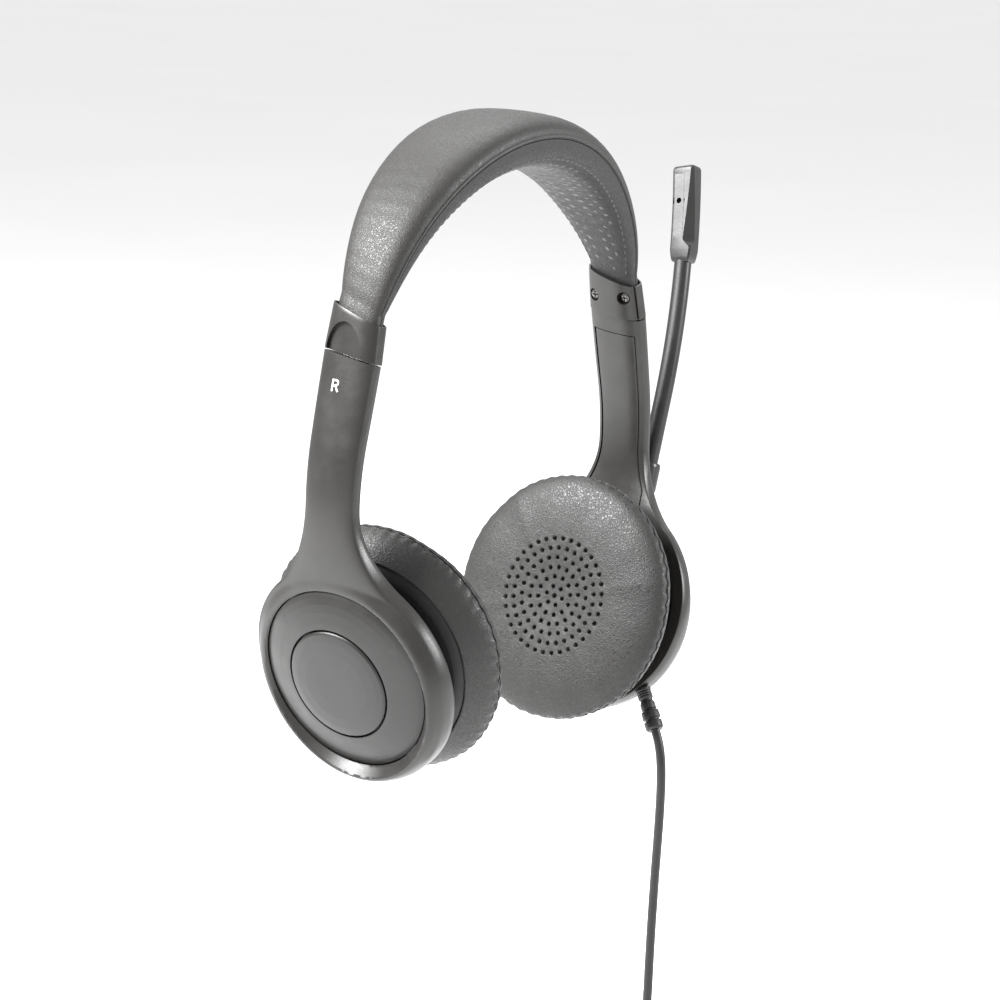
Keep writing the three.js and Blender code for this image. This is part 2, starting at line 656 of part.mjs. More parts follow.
function boomSleeve() {
  const stations = [BOOM.sleeveStart, 31, 41, BOOM.sleeveEnd];
  const radii = [SLEEVE_R - 0.4, SLEEVE_R, SLEEVE_R, SLEEVE_R - 0.3];
  const sleeve = loft(radii.map((r) => ellipse(r, r, 18)), (i, p) => onBoom(stations[i], p));
  const bore = loft([ellipse(ROD_R + GAP, ROD_R + GAP, 14), ellipse(ROD_R + GAP, ROD_R + GAP, 14)],
    (i, p) => onBoom([34, 50][i], p));
  return cut(sleeve, bore);
}

function boomRod() {
  const stations = [34.3, 48, 60, 66, 72, 79, 86, 93, BOOM.rodEnd + 3];
  return loft(stations.map(() => ellipse(ROD_R, ROD_R, 14)), (i, p) => onBoom(stations[i], p));
}

// chamfered bar whose inner front corner carries a wider bevel
function micSection(w, t, bevel) {
  const c = MIC.corner;
  return [
    [w, -t + bevel * 0.8], [w, t - c], [w - c, t], [-w + c, t],
    [-w, t - c], [-w, -t + c], [-w + c, -t], [w - bevel, -t],
  ].map(([x, y]) => new THREE.Vector2(x, y));
}

function micShell() {
  const { halfWidth: w, halfThick: t, corner, bevel } = MIC;
  const sections = [
    [BOOM.rodEnd - 1, 2.9, t - 0.2, corner], [102, 3.3, t, corner], [104, w, t, corner],
    [MIC.bevelFrom, w, t, bevel], [125.4, w, t, corner + 0.4], [BOOM.tip, w - 0.5, t, corner],
  ];
  const shell = loft(sections.map(([, ...size]) => micSection(...size)), (i, p) => onBoom(sections[i][0], p));
  const boreUps = [95, BOOM.rodEnd + 3.3];
  const bore = loft(boreUps.map(() => ellipse(ROD_R + 0.2, ROD_R + 0.2, 14)), (i, p) => onBoom(boreUps[i], p));
  const seat = micPlate(MIC_PLATE.gap, -4, -1.3);
  const well = rod(micFrame(), 1.85, -3, 0.6, 18);
  return cut(shell, bore, seat, well);
}

// the plate over the microphone, grown by a margin and set between two depths
function micPlate(margin, low, high) {
  const { from, to, xMin, xMax } = MIC_PLATE;
  const [left, right] = [xMin - margin, xMax + margin];
  const outline = [[left, low], [right, low], [right, high], [left, high]].map(([x, y]) => new THREE.Vector2(x, y));
  const ups = [from - margin, (from + to) / 2, to + margin];
  return loft(ups.map(() => outline), (i, p) => onBoom(ups[i], p));
}

// frame on the sound port: z outward, x along the boom
function micFrame() {
  const x = V(1, 0, 0).transformDirection(RING_FRAME);
  const y = ringDir.out.clone().cross(x).normalize();
  return frameOf(x, y, ringDir.out, onBoom(MIC.portUp, new THREE.Vector2(MIC.portX, 0)));
}

function micCover() {
  return cut(micPlate(0, -2.45, -1.6), rod(micFrame(), 0.75, -4, 0, 14));
}

function micCapsule() {
  return rod(micFrame(), 1.55, -1.2, 0.4, 18);
}

// ---------------------------------------------------------------- cord
const reliefRoot = ringPoint(RELIEF.up, RELIEF.front, RELIEF.q);
const reliefDir = ringPoint(RELIEF.up + RELIEF_DIR.x, RELIEF.front + RELIEF_DIR.y, RELIEF.q)
  .sub(reliefRoot).normalize();

function frameAlong(dir, at) {
  const x = V(1, 0, 0).addScaledVector(dir, -dir.x).normalize();
  return frameOf(x, dir.clone().cross(x), dir, at);
}

function strainRelief() {
  const grooves = [[3.2, 1.75], [4.4, 1.75], [4.4, 2.1], [6.6, 2.1], [6.6, 2.5], [9.2, 2.6], [9.2, 2.1], [10, 2.1]];
  const [root, tip] = [0.5, RELIEF.length];
  const profile = [[root, 2], [3.2, 2], ...grooves, [10, 2.6], [tip, 2.3]].map(([z, r]) => [r, z]);
  return turned(frameAlong(reliefDir, reliefRoot), [[0, root], ...profile, [0, tip]], 12);
}

// The cord's free stretch, from the strain relief down to the hank.
const CORD_PATH = [
  [45.55, -28.2, -155.9],
  [44.95, -29.5, -158.1],
  [44.45, -30.6, -160.8],
  [44.15, -31.3, -164.0],
  [44.05, -31.7, -168.0],
  [44.1, -31.8, -173.0],
  [44.2, -31.7, -180.0],
  [44.35, -31.4, -188.0],
  [44.45, -31.1, -196.0],
  [44.5, -30.9, -204.0],
  [44.45, -30.8, -212.0],
  [44.35, -30.8, -220.0],
  [44.2, -30.9, -228.0],
  [44.1, -31.0, -236.0],
  [44.0, -31.0, -244.0],
];

function cordTube() {
  const path = new THREE.CatmullRomCurve3(CORD_PATH.map(([x, y, z]) => V(x, y, z)));
  const section = new THREE.Shape(ellipse(CORD_R, CORD_R, 8));
  return welded(new THREE.ExtrudeGeometry(section, { extrudePath: path, steps: 22, bevelEnabled: false }));
}

// hank of the rest of the cord: a bundle of upright turns, drawn in at the tie
const HANK = { x: 44, y: -31, top: -244.3, length: 60, halfWidth: 11.8, waist: 5.5, halfThick: 10.5 };
const TIE = { halfHeight: 5, thick: 0.9 };

function hankSide(z) {
  const half = HANK.length / 2;
  const end = HANK.halfWidth;
  const along = Math.abs(z) - (half - end);
  if (along > 0) return Math.sqrt(Math.max(0, end ** 2 - along ** 2));
  return mix(HANK.waist, end, smooth(TIE.halfHeight + 1, half - end, Math.abs(z)));
}

function hankOutline() {
  const half = HANK.length / 2 - 0.4;
  const zs = steps(0, Math.PI, 26).map((a) => -half * Math.cos(a));
  const right = zs.map((z) => new THREE.Vector2(hankSide(z), z));
  const left = [...zs].reverse().map((z) => new THREE.Vector2(-hankSide(z), z));
  return [...right, ...left];
}

function cordHank() {
  const middle = HANK.top - HANK.length / 2;
  const outline = hankOutline();
  return loft([outline, outline], (i, p) =>
    V(HANK.x + p.x, HANK.y + [-1, 1][i] * HANK.halfThick, middle + p.y));
}

function cordTie() {
  const middle = V(HANK.x, HANK.y, HANK.top - HANK.length / 2);
  const frame = frameOf(V(1, 0, 0), V(0, 1, 0), V(0, 0, 1), middle);
  const [w, t] = [HANK.waist + GAP, HANK.halfThick + GAP];
  const outer = chamfered(w + TIE.thick, t + TIE.thick, 1.2);
  const band = loft([outer, outer], (i, p) =>
    V(p.x, p.y, [-1, 1][i] * TIE.halfHeight).applyMatrix4(frame));
  return cut(band, box(frame, [-w, w], [-t, t], [-8, 8]));
}

// USB-A plug hanging beside the hank
const PLUG = { x: 63.5, y: -31, top: -252, bodyLength: 24, reliefLength: 9, shellLength: 12 };

function plugBody() {
  const z = PLUG.top;
  const outlines = [
    chamfered(2.1, 2.1, 0.8), chamfered(2.5, 2.5, 0.9), chamfered(6.2, 3.4, 1),
    chamfered(7.8, 4, 1.2), chamfered(7.8, 4, 1.2), chamfered(7.2, 3.5, 1),
  ];
  const levels = [z, z - PLUG.reliefLength, z - PLUG.reliefLength - 1.5, z - PLUG.reliefLength - 4,
    z - PLUG.reliefLength - PLUG.bodyLength + 0.6, z - PLUG.reliefLength - PLUG.bodyLength];
  const body = loft(outlines, (i, p) => V(PLUG.x + p.x, PLUG.y + p.y, levels[i]));
  const end = levels[5];
  const frame = frameOf(V(1, 0, 0), V(0, 1, 0), V(0, 0, 1), V(PLUG.x, PLUG.y, end));
  return cut(body, box(frame, [-6.3, 6.3], [-2.55, 2.55], [-1, 5.3]));
}

function plugShell() {
  const end = PLUG.top - PLUG.reliefLength - PLUG.bodyLength;
  const frame = frameOf(V(1, 0, 0), V(0, 1, 0), V(0, 0, 1), V(PLUG.x, PLUG.y, end));
  const shell = box(frame, [-6, 6], [-2.25, 2.25], [-PLUG.shellLength, 5]);
  return cut(shell, box(frame, [-5.7, 5.7], [0, 1.95], [-PLUG.shellLength - 1, 0]));
}

// ---------------------------------------------------------------- assembly
const part = new THREE.Group();
part.name = "office_headset";

function put(name, geometry, look) {
  const shaded = geometry.toNonIndexed();
  shaded.computeVertexNormals();
  const mesh = new THREE.Mesh(shaded, LOOK[look]());
  mesh.name = name;
  part.add(mesh);
}

put("band_cover", bandCover(), "leather");
put("band_foam", bandFoam(), "foam");
put("band_spring", bandSpring(), "steel");
put("band_pad", bandPad(), "foam");
put("band_lining", bandLining(), "leather");

for (const side of ["l", "r"]) {
  const place = side === "l" ? (geometry) => geometry : mirrored;
  const add = (name, geometry, look) => put(`${name}_${side}`, place(geometry), look);
  const { swivel, tilt } = CUP_REST[side];
  const gimbal = cupFrame(swivel, 0);
  const cup = cupFrame(swivel, tilt);

  add("collar_outer", collarOuter(), "plastic");
  add("collar_inner", collarInner(), "plastic");
  SCREWS_Y.forEach((y, i) => add(`collar_screw_${i + 1}`, collarScrew(y), "screw"));

  add("slider_strip", sliderStrip(), "steel");
  add("arm_shell", armShell(), "plastic");
  add("arm_cover", armCover(), "plastic");
  add("bracket", bracket(), "innerPlastic");
  if (side === "r") add("dish", dish(), "plastic");
  add("cap", cap(), "plastic");

  add("gimbal_ring", gimbalRing(gimbal), "innerPlastic");
  add("cup_back", cupBack(cup), "innerPlastic");
  add("driver_magnet", driverMagnet(cup), "steel");
  add("driver_frame", driverFrame(cup), "innerPlastic");
  add("driver_cone", driverCone(cup), "cone");
  add("baffle", baffle(cup), "innerPlastic");
  add("ear_pad", earPad(cup), "leather");
}

put("boom_hub", boomHub(), "plastic");
put("boom_sleeve", boomSleeve(), "plastic");
put("boom_rod", boomRod(), "rubber");
put("mic_shell", micShell(), "plastic");
put("mic_cover", micCover(), "plastic");
put("mic_capsule", micCapsule(), "cloth");

put("strain_relief", strainRelief(), "rubber");
put("cord", cordTube(), "rubber");
put("cord_hank", cordHank(), "rubber");
put("cord_tie", cordTie(), "rubber");
put("plug_body", plugBody(), "rubber");
put("plug_shell", plugShell(), "steel");

export default part;
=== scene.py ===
import math

import bmesh
import bpy
import numpy as np
from mathutils import Matrix, Vector


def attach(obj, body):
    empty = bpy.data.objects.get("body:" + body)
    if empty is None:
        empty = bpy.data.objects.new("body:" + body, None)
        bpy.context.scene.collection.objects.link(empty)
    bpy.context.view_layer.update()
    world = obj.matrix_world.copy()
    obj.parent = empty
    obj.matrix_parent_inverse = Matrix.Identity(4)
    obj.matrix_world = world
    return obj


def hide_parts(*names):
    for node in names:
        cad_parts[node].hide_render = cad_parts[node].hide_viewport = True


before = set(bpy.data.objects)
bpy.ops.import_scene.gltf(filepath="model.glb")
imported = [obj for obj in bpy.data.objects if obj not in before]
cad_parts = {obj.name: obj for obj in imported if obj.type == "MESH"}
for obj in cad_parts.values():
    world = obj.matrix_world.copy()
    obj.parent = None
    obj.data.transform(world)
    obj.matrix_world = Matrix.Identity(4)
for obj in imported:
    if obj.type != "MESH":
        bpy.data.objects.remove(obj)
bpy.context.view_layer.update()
MM = 0.001
rad = math.radians
FINE = 1.0


# ------------------------------------------------------------------ camera and stage
def vec(*v):
    return np.array(v, float)


VIEW_DEG, RISE_DEG, ROLL_DEG = -55.0, 11.52, 2.4
DISTANCE_MM, SHIFT_MM = 895.0, (1.7, -49.17)
COLLAR_HEIGHT = 38.5
LENS_MM = 122.8


def make_camera():
    a, e, r = rad(VIEW_DEG), rad(RISE_DEG), rad(ROLL_DEG)
    back = vec(math.sin(a) * math.cos(e), -math.cos(a) * math.cos(e), math.sin(e))
    right = vec(math.cos(a), math.sin(a), 0)
    up = np.cross(back, right)
    right2 = math.cos(r) * right + math.sin(r) * up
    up2 = -math.sin(r) * right + math.cos(r) * up
    at = back * DISTANCE_MM + right2 * SHIFT_MM[0] + up2 * SHIFT_MM[1] + vec(0, 0, -COLLAR_HEIGHT)
    camera = bpy.data.objects.new("camera", bpy.data.cameras.new("camera"))
    m = Matrix((right2, up2, back)).transposed().to_4x4()
    m.translation = Vector(at * MM)
    camera.matrix_world = m
    camera.data.lens = LENS_MM
    camera.data.sensor_width = 36
    camera.data.clip_end = 100
    bpy.context.scene.collection.objects.link(camera)
    bpy.context.scene.camera = camera
    return back, right2, up2


TO_CAMERA, CAM_RIGHT, CAM_UP = make_camera()


# ------------------------------------------------------------------ node materials
class Nodes:
    """Short names for building a material's node tree."""

    def __init__(self, name):
        self.material = bpy.data.materials.new(name)
        self.material.use_nodes = True
        self.tree = self.material.node_tree
        self.bsdf = self.tree.nodes["Principled BSDF"]
        self.coords = self.add("ShaderNodeTexCoord").outputs["Object"]

    def add(self, kind, **values):
        node = self.tree.nodes.new(kind)
        for key, value in values.items():
            if hasattr(node, key):
                setattr(node, key, value)
            else:
                node.inputs[key.replace("_", " ")].default_value = value
        return node

    def link(self, a, b):
        self.tree.links.new(a, b)

    def noise(self, scale, detail=3.0, rough=0.55, coords=None):
        node = self.add("ShaderNodeTexNoise", Scale=scale, Detail=detail, Roughness=rough)
        self.link(coords or self.coords, node.inputs["Vector"])
        return node.outputs["Fac"]

    def cells(self, scale, feature="F1", coords=None):
        node = self.add("ShaderNodeTexVoronoi", feature=feature, Scale=scale)
        self.link(coords or self.coords, node.inputs["Vector"])
        return node.outputs["Distance"]

    def spread(self, value, low, high, to_low=0.0, to_high=1.0):
        node = self.add("ShaderNodeMapRange")
        for i, v in enumerate((low, high, to_low, to_high), 1):
            node.inputs[i].default_value = v
        self.link(value, node.inputs[0])
        return node.outputs[0]

    def maths(self, operation, a, b):
        node = self.add("ShaderNodeMath", operation=operation)
        for socket, v in zip(node.inputs, (a, b)):
            if isinstance(v, (int, float)):
                socket.default_value = v
            else:
                self.link(v, socket)
        return node.outputs[0]

    def ramp(self, value, low, high):
        node = self.add("ShaderNodeValToRGB")
        for element, colour in zip(node.color_ramp.elements, (low, high)):
            element.color = (*colour, 1)
        self.link(value, node.inputs[0])
        return node.outputs[0]

    def bumps(self, *layers):
        """Stacks (height, strength, distance in mm) on the surface."""
        normal = None
        for height, strength, distance in layers:
            node = self.add("ShaderNodeBump", Strength=strength, Distance=distance * MM)
            self.link(height, node.inputs["Height"])
            if normal is not None:
                self.link(normal, node.inputs["Normal"])
            normal = node.outputs["Normal"]
        self.link(normal, self.bsdf.inputs["Normal"])

    def finish(self, **values):
        for key, value in values.items():
            self.bsdf.inputs[key.replace("_", " ")].default_value = value
        return self.material


def shade(colour, factor):
    return tuple(c * factor for c in colour)


def plastic(name, colour, rough=0.42, spark=2600, depth=0.03, wear=0.25):
    n = Nodes(name)
    cloud = n.noise(70, 4)
    grain = n.noise(spark, 2, 0.7)
    pits = n.cells(spark * 0.55)
    edge = n.spread(n.add("ShaderNodeNewGeometry").outputs["Pointiness"], 0.52, 0.6, 0, wear)
    base = n.ramp(cloud, shade(colour, 0.86), shade(colour, 1.14))
    worn = n.add("ShaderNodeMix", data_type="RGBA")
    n.link(edge, worn.inputs[0])
    n.link(base, worn.inputs[6])
    worn.inputs[7].default_value = (*shade(colour, 2.2), 1)
    n.link(worn.outputs[2], n.bsdf.inputs["Base Color"])
    n.link(n.spread(n.noise(180, 5), 0.3, 0.7, rough - 0.05, rough + 0.07), n.bsdf.inputs["Roughness"])
    n.bumps((grain, 0.5, depth), (pits, 0.25, depth))
    return n.finish(Specular_IOR_Level=0.45)


def leather(name, colour, scale=900, rough=0.46, depth=0.11, holes=None):
    n = Nodes(name)
    wobble = n.add("ShaderNodeMix", data_type="RGBA", blend_type="LINEAR_LIGHT")
    wobble.inputs[0].default_value = 0.0012
    n.link(n.coords, wobble.inputs[6])
    soft = n.add("ShaderNodeTexNoise", Scale=scale * 0.7, Detail=2)
    n.link(n.coords, soft.inputs["Vector"])
    n.link(soft.outputs["Color"], wobble.inputs[7])
    at = wobble.outputs[2]
    crease = n.cells(scale, "DISTANCE_TO_EDGE", at)
    pebble = n.spread(crease, 0.0, 0.28)
    fold = n.noise(120, 5, 0.6)
    # The base colour darkens along the cell edges and in the low parts of the fold noise, where the bumps
    # sink: painted shade in the creases and folds.
    crease_fold_shade = n.maths("MULTIPLY", n.spread(crease, 0, 0.12, 0.55, 1.0), n.spread(fold, 0.3, 0.7, 0.86, 1.0))
    base = n.ramp(crease_fold_shade, shade(colour, 0.45), shade(colour, 1.35))
    if holes:
        # The holes colour goes where the holes mask is set; on the pad it is near-black, painted shade inside
        # the perforations.
        dark = n.add("ShaderNodeMix", data_type="RGBA")
        mask = n.add("ShaderNodeAttribute", attribute_name="holes").outputs["Fac"]
        n.link(mask, dark.inputs[0])
        n.link(base, dark.inputs[6])
        dark.inputs[7].default_value = (*holes, 1)
        base = dark.outputs[2]
    n.link(base, n.bsdf.inputs["Base Color"])
    n.link(n.spread(crease, 0.0, 0.3, rough + 0.25, rough - 0.04), n.bsdf.inputs["Roughness"])
    n.bumps((pebble, 0.6, depth), (n.noise(scale * 3, 3), 0.2, depth * 0.3), (fold, 0.16, 0.2))
    return n.finish(Specular_IOR_Level=0.45)


def rubber(name, colour, rough=0.62, scale=900):
    n = Nodes(name)
    dust = n.noise(140, 6, 0.65)
    n.link(n.ramp(dust, shade(colour, 0.8), shade(colour, 1.35)), n.bsdf.inputs["Base Color"])
    n.link(n.spread(dust, 0.3, 0.7, rough - 0.08, rough + 0.1), n.bsdf.inputs["Roughness"])
    n.bumps((n.noise(scale, 3), 0.35, 0.05), (n.noise(scale * 3, 2), 0.2, 0.02))
    return n.finish(Specular_IOR_Level=0.4)


def metal(name, colour, rough=0.3, stretch=(1, 40, 1), dark=0.6):
    n = Nodes(name)
    mapping = n.add("ShaderNodeMapping")
    mapping.inputs["Scale"].default_value = stretch
    n.link(n.coords, mapping.inputs["Vector"])
    lines = n.noise(300, 4, 0.6, mapping.outputs[0])
    n.link(n.ramp(lines, shade(colour, dark), colour), n.bsdf.inputs["Base Color"])
    n.link(n.spread(lines, 0.25, 0.75, rough - 0.08, rough + 0.14), n.bsdf.inputs["Roughness"])
    n.bumps((lines, 0.2, 0.03))
    return n.finish(Metallic=1.0)


def woven(name, colour, scale=1500, rough=0.95, depth=0.25):
    n = Nodes(name)
    pores = n.cells(scale)
    lint = n.noise(scale * 1.6, 4, 0.7)
    # The base colour darkens towards the pore centres, where the pore bump sinks: painted shade in the pores.
    n.link(n.ramp(pores, shade(colour, 0.5), shade(colour, 1.6)), n.bsdf.inputs["Base Color"])
    n.link(n.spread(lint, 0.2, 0.8, rough - 0.1, rough), n.bsdf.inputs["Roughness"])
    n.bumps((pores, 0.8, depth), (lint, 0.4, depth * 0.5))
    return n.finish(Sheen_Weight=0.4)


def film(name, colour):
    n = Nodes(name)
    rings = n.add("ShaderNodeTexWave", wave_type="RINGS", Scale=160, Distortion=1.5)
    n.link(n.coords, rings.inputs["Vector"])
    n.link(n.ramp(rings.outputs["Fac"], shade(colour, 0.7), colour), n.bsdf.inputs["Base Color"])
    n.link(n.spread(n.noise(300), 0.3, 0.7, 0.25, 0.4), n.bsdf.inputs["Roughness"])
    n.bumps((rings.outputs["Fac"], 0.3, 0.1))
    return n.finish(Coat_Weight=0.3)


SHELL = plastic("satin_shell", (0.0150, 0.0142, 0.0134), 0.34)
DISH = plastic("satin_dish", (0.0125, 0.0118, 0.0112), 0.36)
CAP = plastic("cap_plastic", (0.0105, 0.0100, 0.0096), 0.34, depth=0.02)
INNER = plastic("inner_plastic", (0.0080, 0.0080, 0.0080), 0.5, depth=0.02)
BOOM = plastic("boom_plastic", (0.0110, 0.0106, 0.0103), 0.36)
BAND_LEATHER = leather("band_leather", (0.0135, 0.0128, 0.0121), 1500, 0.38, 0.05)
LINING = leather("lining_leather", (0.0075, 0.0073, 0.0072), 1500, 0.44, 0.05, holes=(0.16, 0.155, 0.15))
# The near-black hole colour is painted shade inside the pad's perforations.
PAD_LEATHER = leather("pad_leather", (0.0115, 0.0109, 0.0104), 1250, 0.38, 0.06, holes=(0.001, 0.001, 0.001))
THREAD = woven("thread", (0.012, 0.0115, 0.011), 5000, 0.8, 0.05)
PIPING = leather("piping_leather", (0.016, 0.015, 0.014), 2200, 0.34, 0.04)
FOAM = woven("foam", (0.05, 0.05, 0.05), 1800)
FELT = woven("mic_felt", (0.008, 0.008, 0.008), 4000)
STRAP = woven("tie_strap", (0.018, 0.018, 0.018), 2400, 0.9, 0.15)
ROD_RUBBER = rubber("boom_rubber", (0.0085, 0.0085, 0.0085), 0.42)
CORD_RUBBER = rubber("cord_rubber", (0.0085, 0.0085, 0.0088), 0.42)
PLUG_RUBBER = rubber("plug_rubber", (0.0095, 0.0095, 0.0098), 0.44)
SPRING = metal("spring_steel", (0.42, 0.42, 0.41), 0.35)
SCREW = metal("screw_black", (0.16, 0.155, 0.15), 0.3, (1, 1, 1))
MAGNET = metal("magnet_plate", (0.5, 0.5, 0.5), 0.3, (1, 1, 1))
NICKEL = metal("nickel", (0.66, 0.65, 0.63), 0.22, (1, 1, 30))
CONE = film("cone_film", (0.34, 0.31, 0.24))
PRINT = plastic("printed_letter", (0.70, 0.69, 0.67), 0.55, wear=0.0)


# ------------------------------------------------------------------ mesh making
def mesh_object(name, points, faces, material, body, smooth_deg=38):
    mesh = bpy.data.meshes.new(name)
    mesh.from_pydata([tuple(p) for p in np.asarray(points, float) * MM], [], faces)
    bm = bmesh.new()
    bm.from_mesh(mesh)
    bmesh.ops.remove_doubles(bm, verts=bm.verts, dist=1e-7)
    bmesh.ops.recalc_face_normals(bm, faces=bm.faces)
    bm.to_mesh(mesh)
    bm.free()
    obj = bpy.data.objects.new(name, mesh)
    bpy.context.scene.collection.objects.link(obj)
    dress(obj, material, smooth_deg)
    if body:
        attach(obj, body)
    return obj


def dress(obj, material, smooth_deg=38):
    obj.data.materials.clear()
    obj.data.materials.append(material)
    obj.data.shade_smooth()
    if smooth_deg:
        obj.data.set_sharp_from_angle(angle=rad(smooth_deg))


def grid_faces(rows, count, closed=True, caps=True, ring=False):
    faces = []
    last = rows if ring else rows - 1
    for i in range(last):
        k = (i + 1) % rows
        for j in range(count if closed else count - 1):
            m = (j + 1) % count
            faces.append((i * count + j, i * count + m, k * count + m, k * count + j))
    if caps and not ring:
        faces.append(tuple(range(count))[::-1])
        faces.append(tuple(range((rows - 1) * count, rows * count)))
    return faces


def loft(name, rows, material, body, slot, **how):
    rows = np.asarray(rows, float)
    smooth_deg = how.pop("smooth_deg", 38)
    faces = grid_faces(len(rows), len(rows[0]), **how)
    return mesh_object(name, rows.reshape(-1, 3), faces, material, body, smooth_deg)


def many(count):
    return max(12, int(count * FINE))


def rounded(profile, radius=0.25, count=3):
    """Rounds the corners of a closed [r, z] profile, apart from those on the axis."""
    out = []
    n = len(profile)
    for i, p in enumerate(profile):
        a, b, c = (vec(*profile[(i + k) % n]) for k in (-1, 0, 1))
        if p[0] == 0:
            out.append(b)
            continue
        cut = min(radius, 0.45 * np.linalg.norm(a - b), 0.45 * np.linalg.norm(c - b))
        start = b + (a - b) / max(np.linalg.norm(a - b), 1e-9) * cut
        end = b + (c - b) / max(np.linalg.norm(c - b), 1e-9) * cut
        for t in np.linspace(0, 1, count + 1):
            out.append((1 - t) ** 2 * start + 2 * t * (1 - t) * b + t * t * end)
    return out


def turned(name, place, profile, material, body, slot, segments=144, radius=0.25, ripple=None, smooth_deg=38):
    """Solid of revolution; place maps local (x, y, z) points to the row frame."""
    outline = rounded(profile, radius) if radius else [vec(*p) for p in profile]
    segments = many(segments)
    rows = []
    for i in range(segments):
        angle = 2 * math.pi * i / segments
        ring = []
        for j, (r, z) in enumerate(outline):
            dr, dz = ripple(angle, r, z) if ripple else (0.0, 0.0)
            ring.append(place(vec((r + dr) * math.cos(angle), (r + dr) * math.sin(angle), z + dz)))
        rows.append(ring)
    return loft(name, rows, material, body, slot, ring=True, smooth_deg=smooth_deg)


def superellipse(rx, ry, power, count):
    t = np.linspace(0, 2 * math.pi, count, endpoint=False)
    c, s = np.cos(t), np.sin(t)
    x = rx * np.sign(c) * np.abs(c) ** (2 / power)
    y = ry * np.sign(s) * np.abs(s) ** (2 / power)
    return np.stack([x, y], 1)


def carve(obj, cutters):
    """Cuts the cutters out of obj, then softens the new edges."""
    for cutter in cutters:
        mod = obj.modifiers.new("cut", "BOOLEAN")
        mod.operation, mod.solver, mod.object = "DIFFERENCE", "EXACT", cutter
    bpy.context.view_layer.update()
    done = bpy.data.meshes.new_from_object(obj.evaluated_get(bpy.context.evaluated_depsgraph_get()))
    obj.modifiers.clear()
    obj.data = done
    for cutter in cutters:
        bpy.data.objects.remove(cutter)
    obj.data.shade_smooth()
    obj.data.set_sharp_from_angle(angle=rad(34))
    return obj


def cutter(name, points, faces):
    mesh = bpy.data.meshes.new(name)
    mesh.from_pydata([tuple(p) for p in np.asarray(points) * MM], [], faces)
    bm = bmesh.new()
    bm.from_mesh(mesh)
    bmesh.ops.remove_doubles(bm, verts=bm.verts, dist=1e-7)
    bmesh.ops.recalc_face_normals(bm, faces=bm.faces)
    bm.to_mesh(mesh)
    bm.free()
    obj = bpy.data.objects.new(name, mesh)
    bpy.context.scene.collection.objects.link(obj)
    obj.hide_render = True
    return obj


def cutter_rows(name, rows):
    rows = np.asarray(rows, float)
    return cutter(name, rows.reshape(-1, 3), grid_faces(len(rows), len(rows[0])))


def cutter_round(name, place, radius, z0, z1, segments=120):
    circle = superellipse(radius, radius, 2, many(segments))
    return cutter_rows(name, [[place(vec(x, y, z)) for x, y in circle] for z in (z0, z1)])


def smooth(low, high, x):
    t = np.clip((x - low) / (high - low), 0, 1)
    return t * t * (3 - 2 * t)


def mix(a, b, t):
    return a + (b - a) * t


# ------------------------------------------------------------------ cord and hank
CORD_D = 2.6
CORD_PATH = [
    (45.55, -28.2, -155.9), (44.95, -29.5, -158.1), (44.45, -30.6, -160.8), (44.15, -31.3, -164.0),
    (44.05, -31.7, -168.0), (44.1, -31.8, -173.0), (44.2, -31.7, -180.0), (44.35, -31.4, -188.0),
    (44.45, -31.1, -196.0), (44.5, -30.9, -204.0), (44.45, -30.8, -212.0), (44.35, -30.8, -220.0),
    (44.2, -30.9, -228.0), (44.1, -31.3, -235.0),
]
HANK_X, HANK_Y, HANK_TOP, HANK_LENGTH = 44.0, -31.0, -244.3, 60.0
HANK_TURNS, HANK_LAYERS = 16, 8
HANK_PITCH = 2.63
END_R = (10.5, 7.9)
WAIST_X = (4.1, 1.4)
PLUG_TOP = (63.5, -31.0, -252.0)


def hank_turn(turn, last):
    """Points of one turn, clockwise from the top, drawn in at the tie."""
    level, layer = divmod(turn, HANK_LAYERS)
    row = layer if level == 0 else HANK_LAYERS - 1 - layer
    step = 1 if level == 0 else -1
    middle = HANK_TOP - HANK_LENGTH / 2
    reach = HANK_LENGTH / 2 - 1.3 - (0 if level == 0 else 2.7)
    r = END_R[level]
    straight = reach - r
    points = []
    for k in range(24):
        t = k / 24
        angle = 2 * math.pi * t
        side = math.sin(angle)
        along = math.cos(angle)
        if abs(along) > 0.42:
            bend = math.asin(min(1, abs(side) / 0.9076)) if abs(side) < 0.9076 else math.pi / 2
            x = math.copysign(r * math.sin(bend), side)
            z = math.copysign(straight + r * math.cos(bend), along)
        else:
            z = straight * along / 0.42
            x = math.copysign(mix(WAIST_X[level], r, smooth(0.18, 1.0, abs(z) / straight)), side)
        y = (row - (HANK_LAYERS - 1) / 2 + step * smooth(0.55, 0.95, t) * (0 if last else 1)) * HANK_PITCH
        points.append((HANK_X + x, HANK_Y + y, middle + z))
    return points


def cord_points():
    path = list(CORD_PATH)
    front = HANK_Y - (HANK_LAYERS - 1) / 2 * HANK_PITCH
    path += [(43.4, HANK_Y - 4.2, -240.4), (42.6, front + 0.6, -243.2)]
    for turn in range(HANK_TURNS):
        pts = hank_turn(turn, turn == HANK_TURNS - 1 or turn == HANK_LAYERS - 1)
        if turn == 0:
            pts = pts[1:]
        path += pts
    end = path[-1]
    px, py, pz = PLUG_TOP
    path += [(end[0] + 1.5, end[1] - 0.3, HANK_TOP - 0.2), (45.0, -39.3, -240.6), (50.5, -38.0, -237.4),
             (56.5, -35.4, -237.6), (61.2, -32.6, -240.8), (px, py, -246.0), (px, py, pz + 0.4)]
    return path


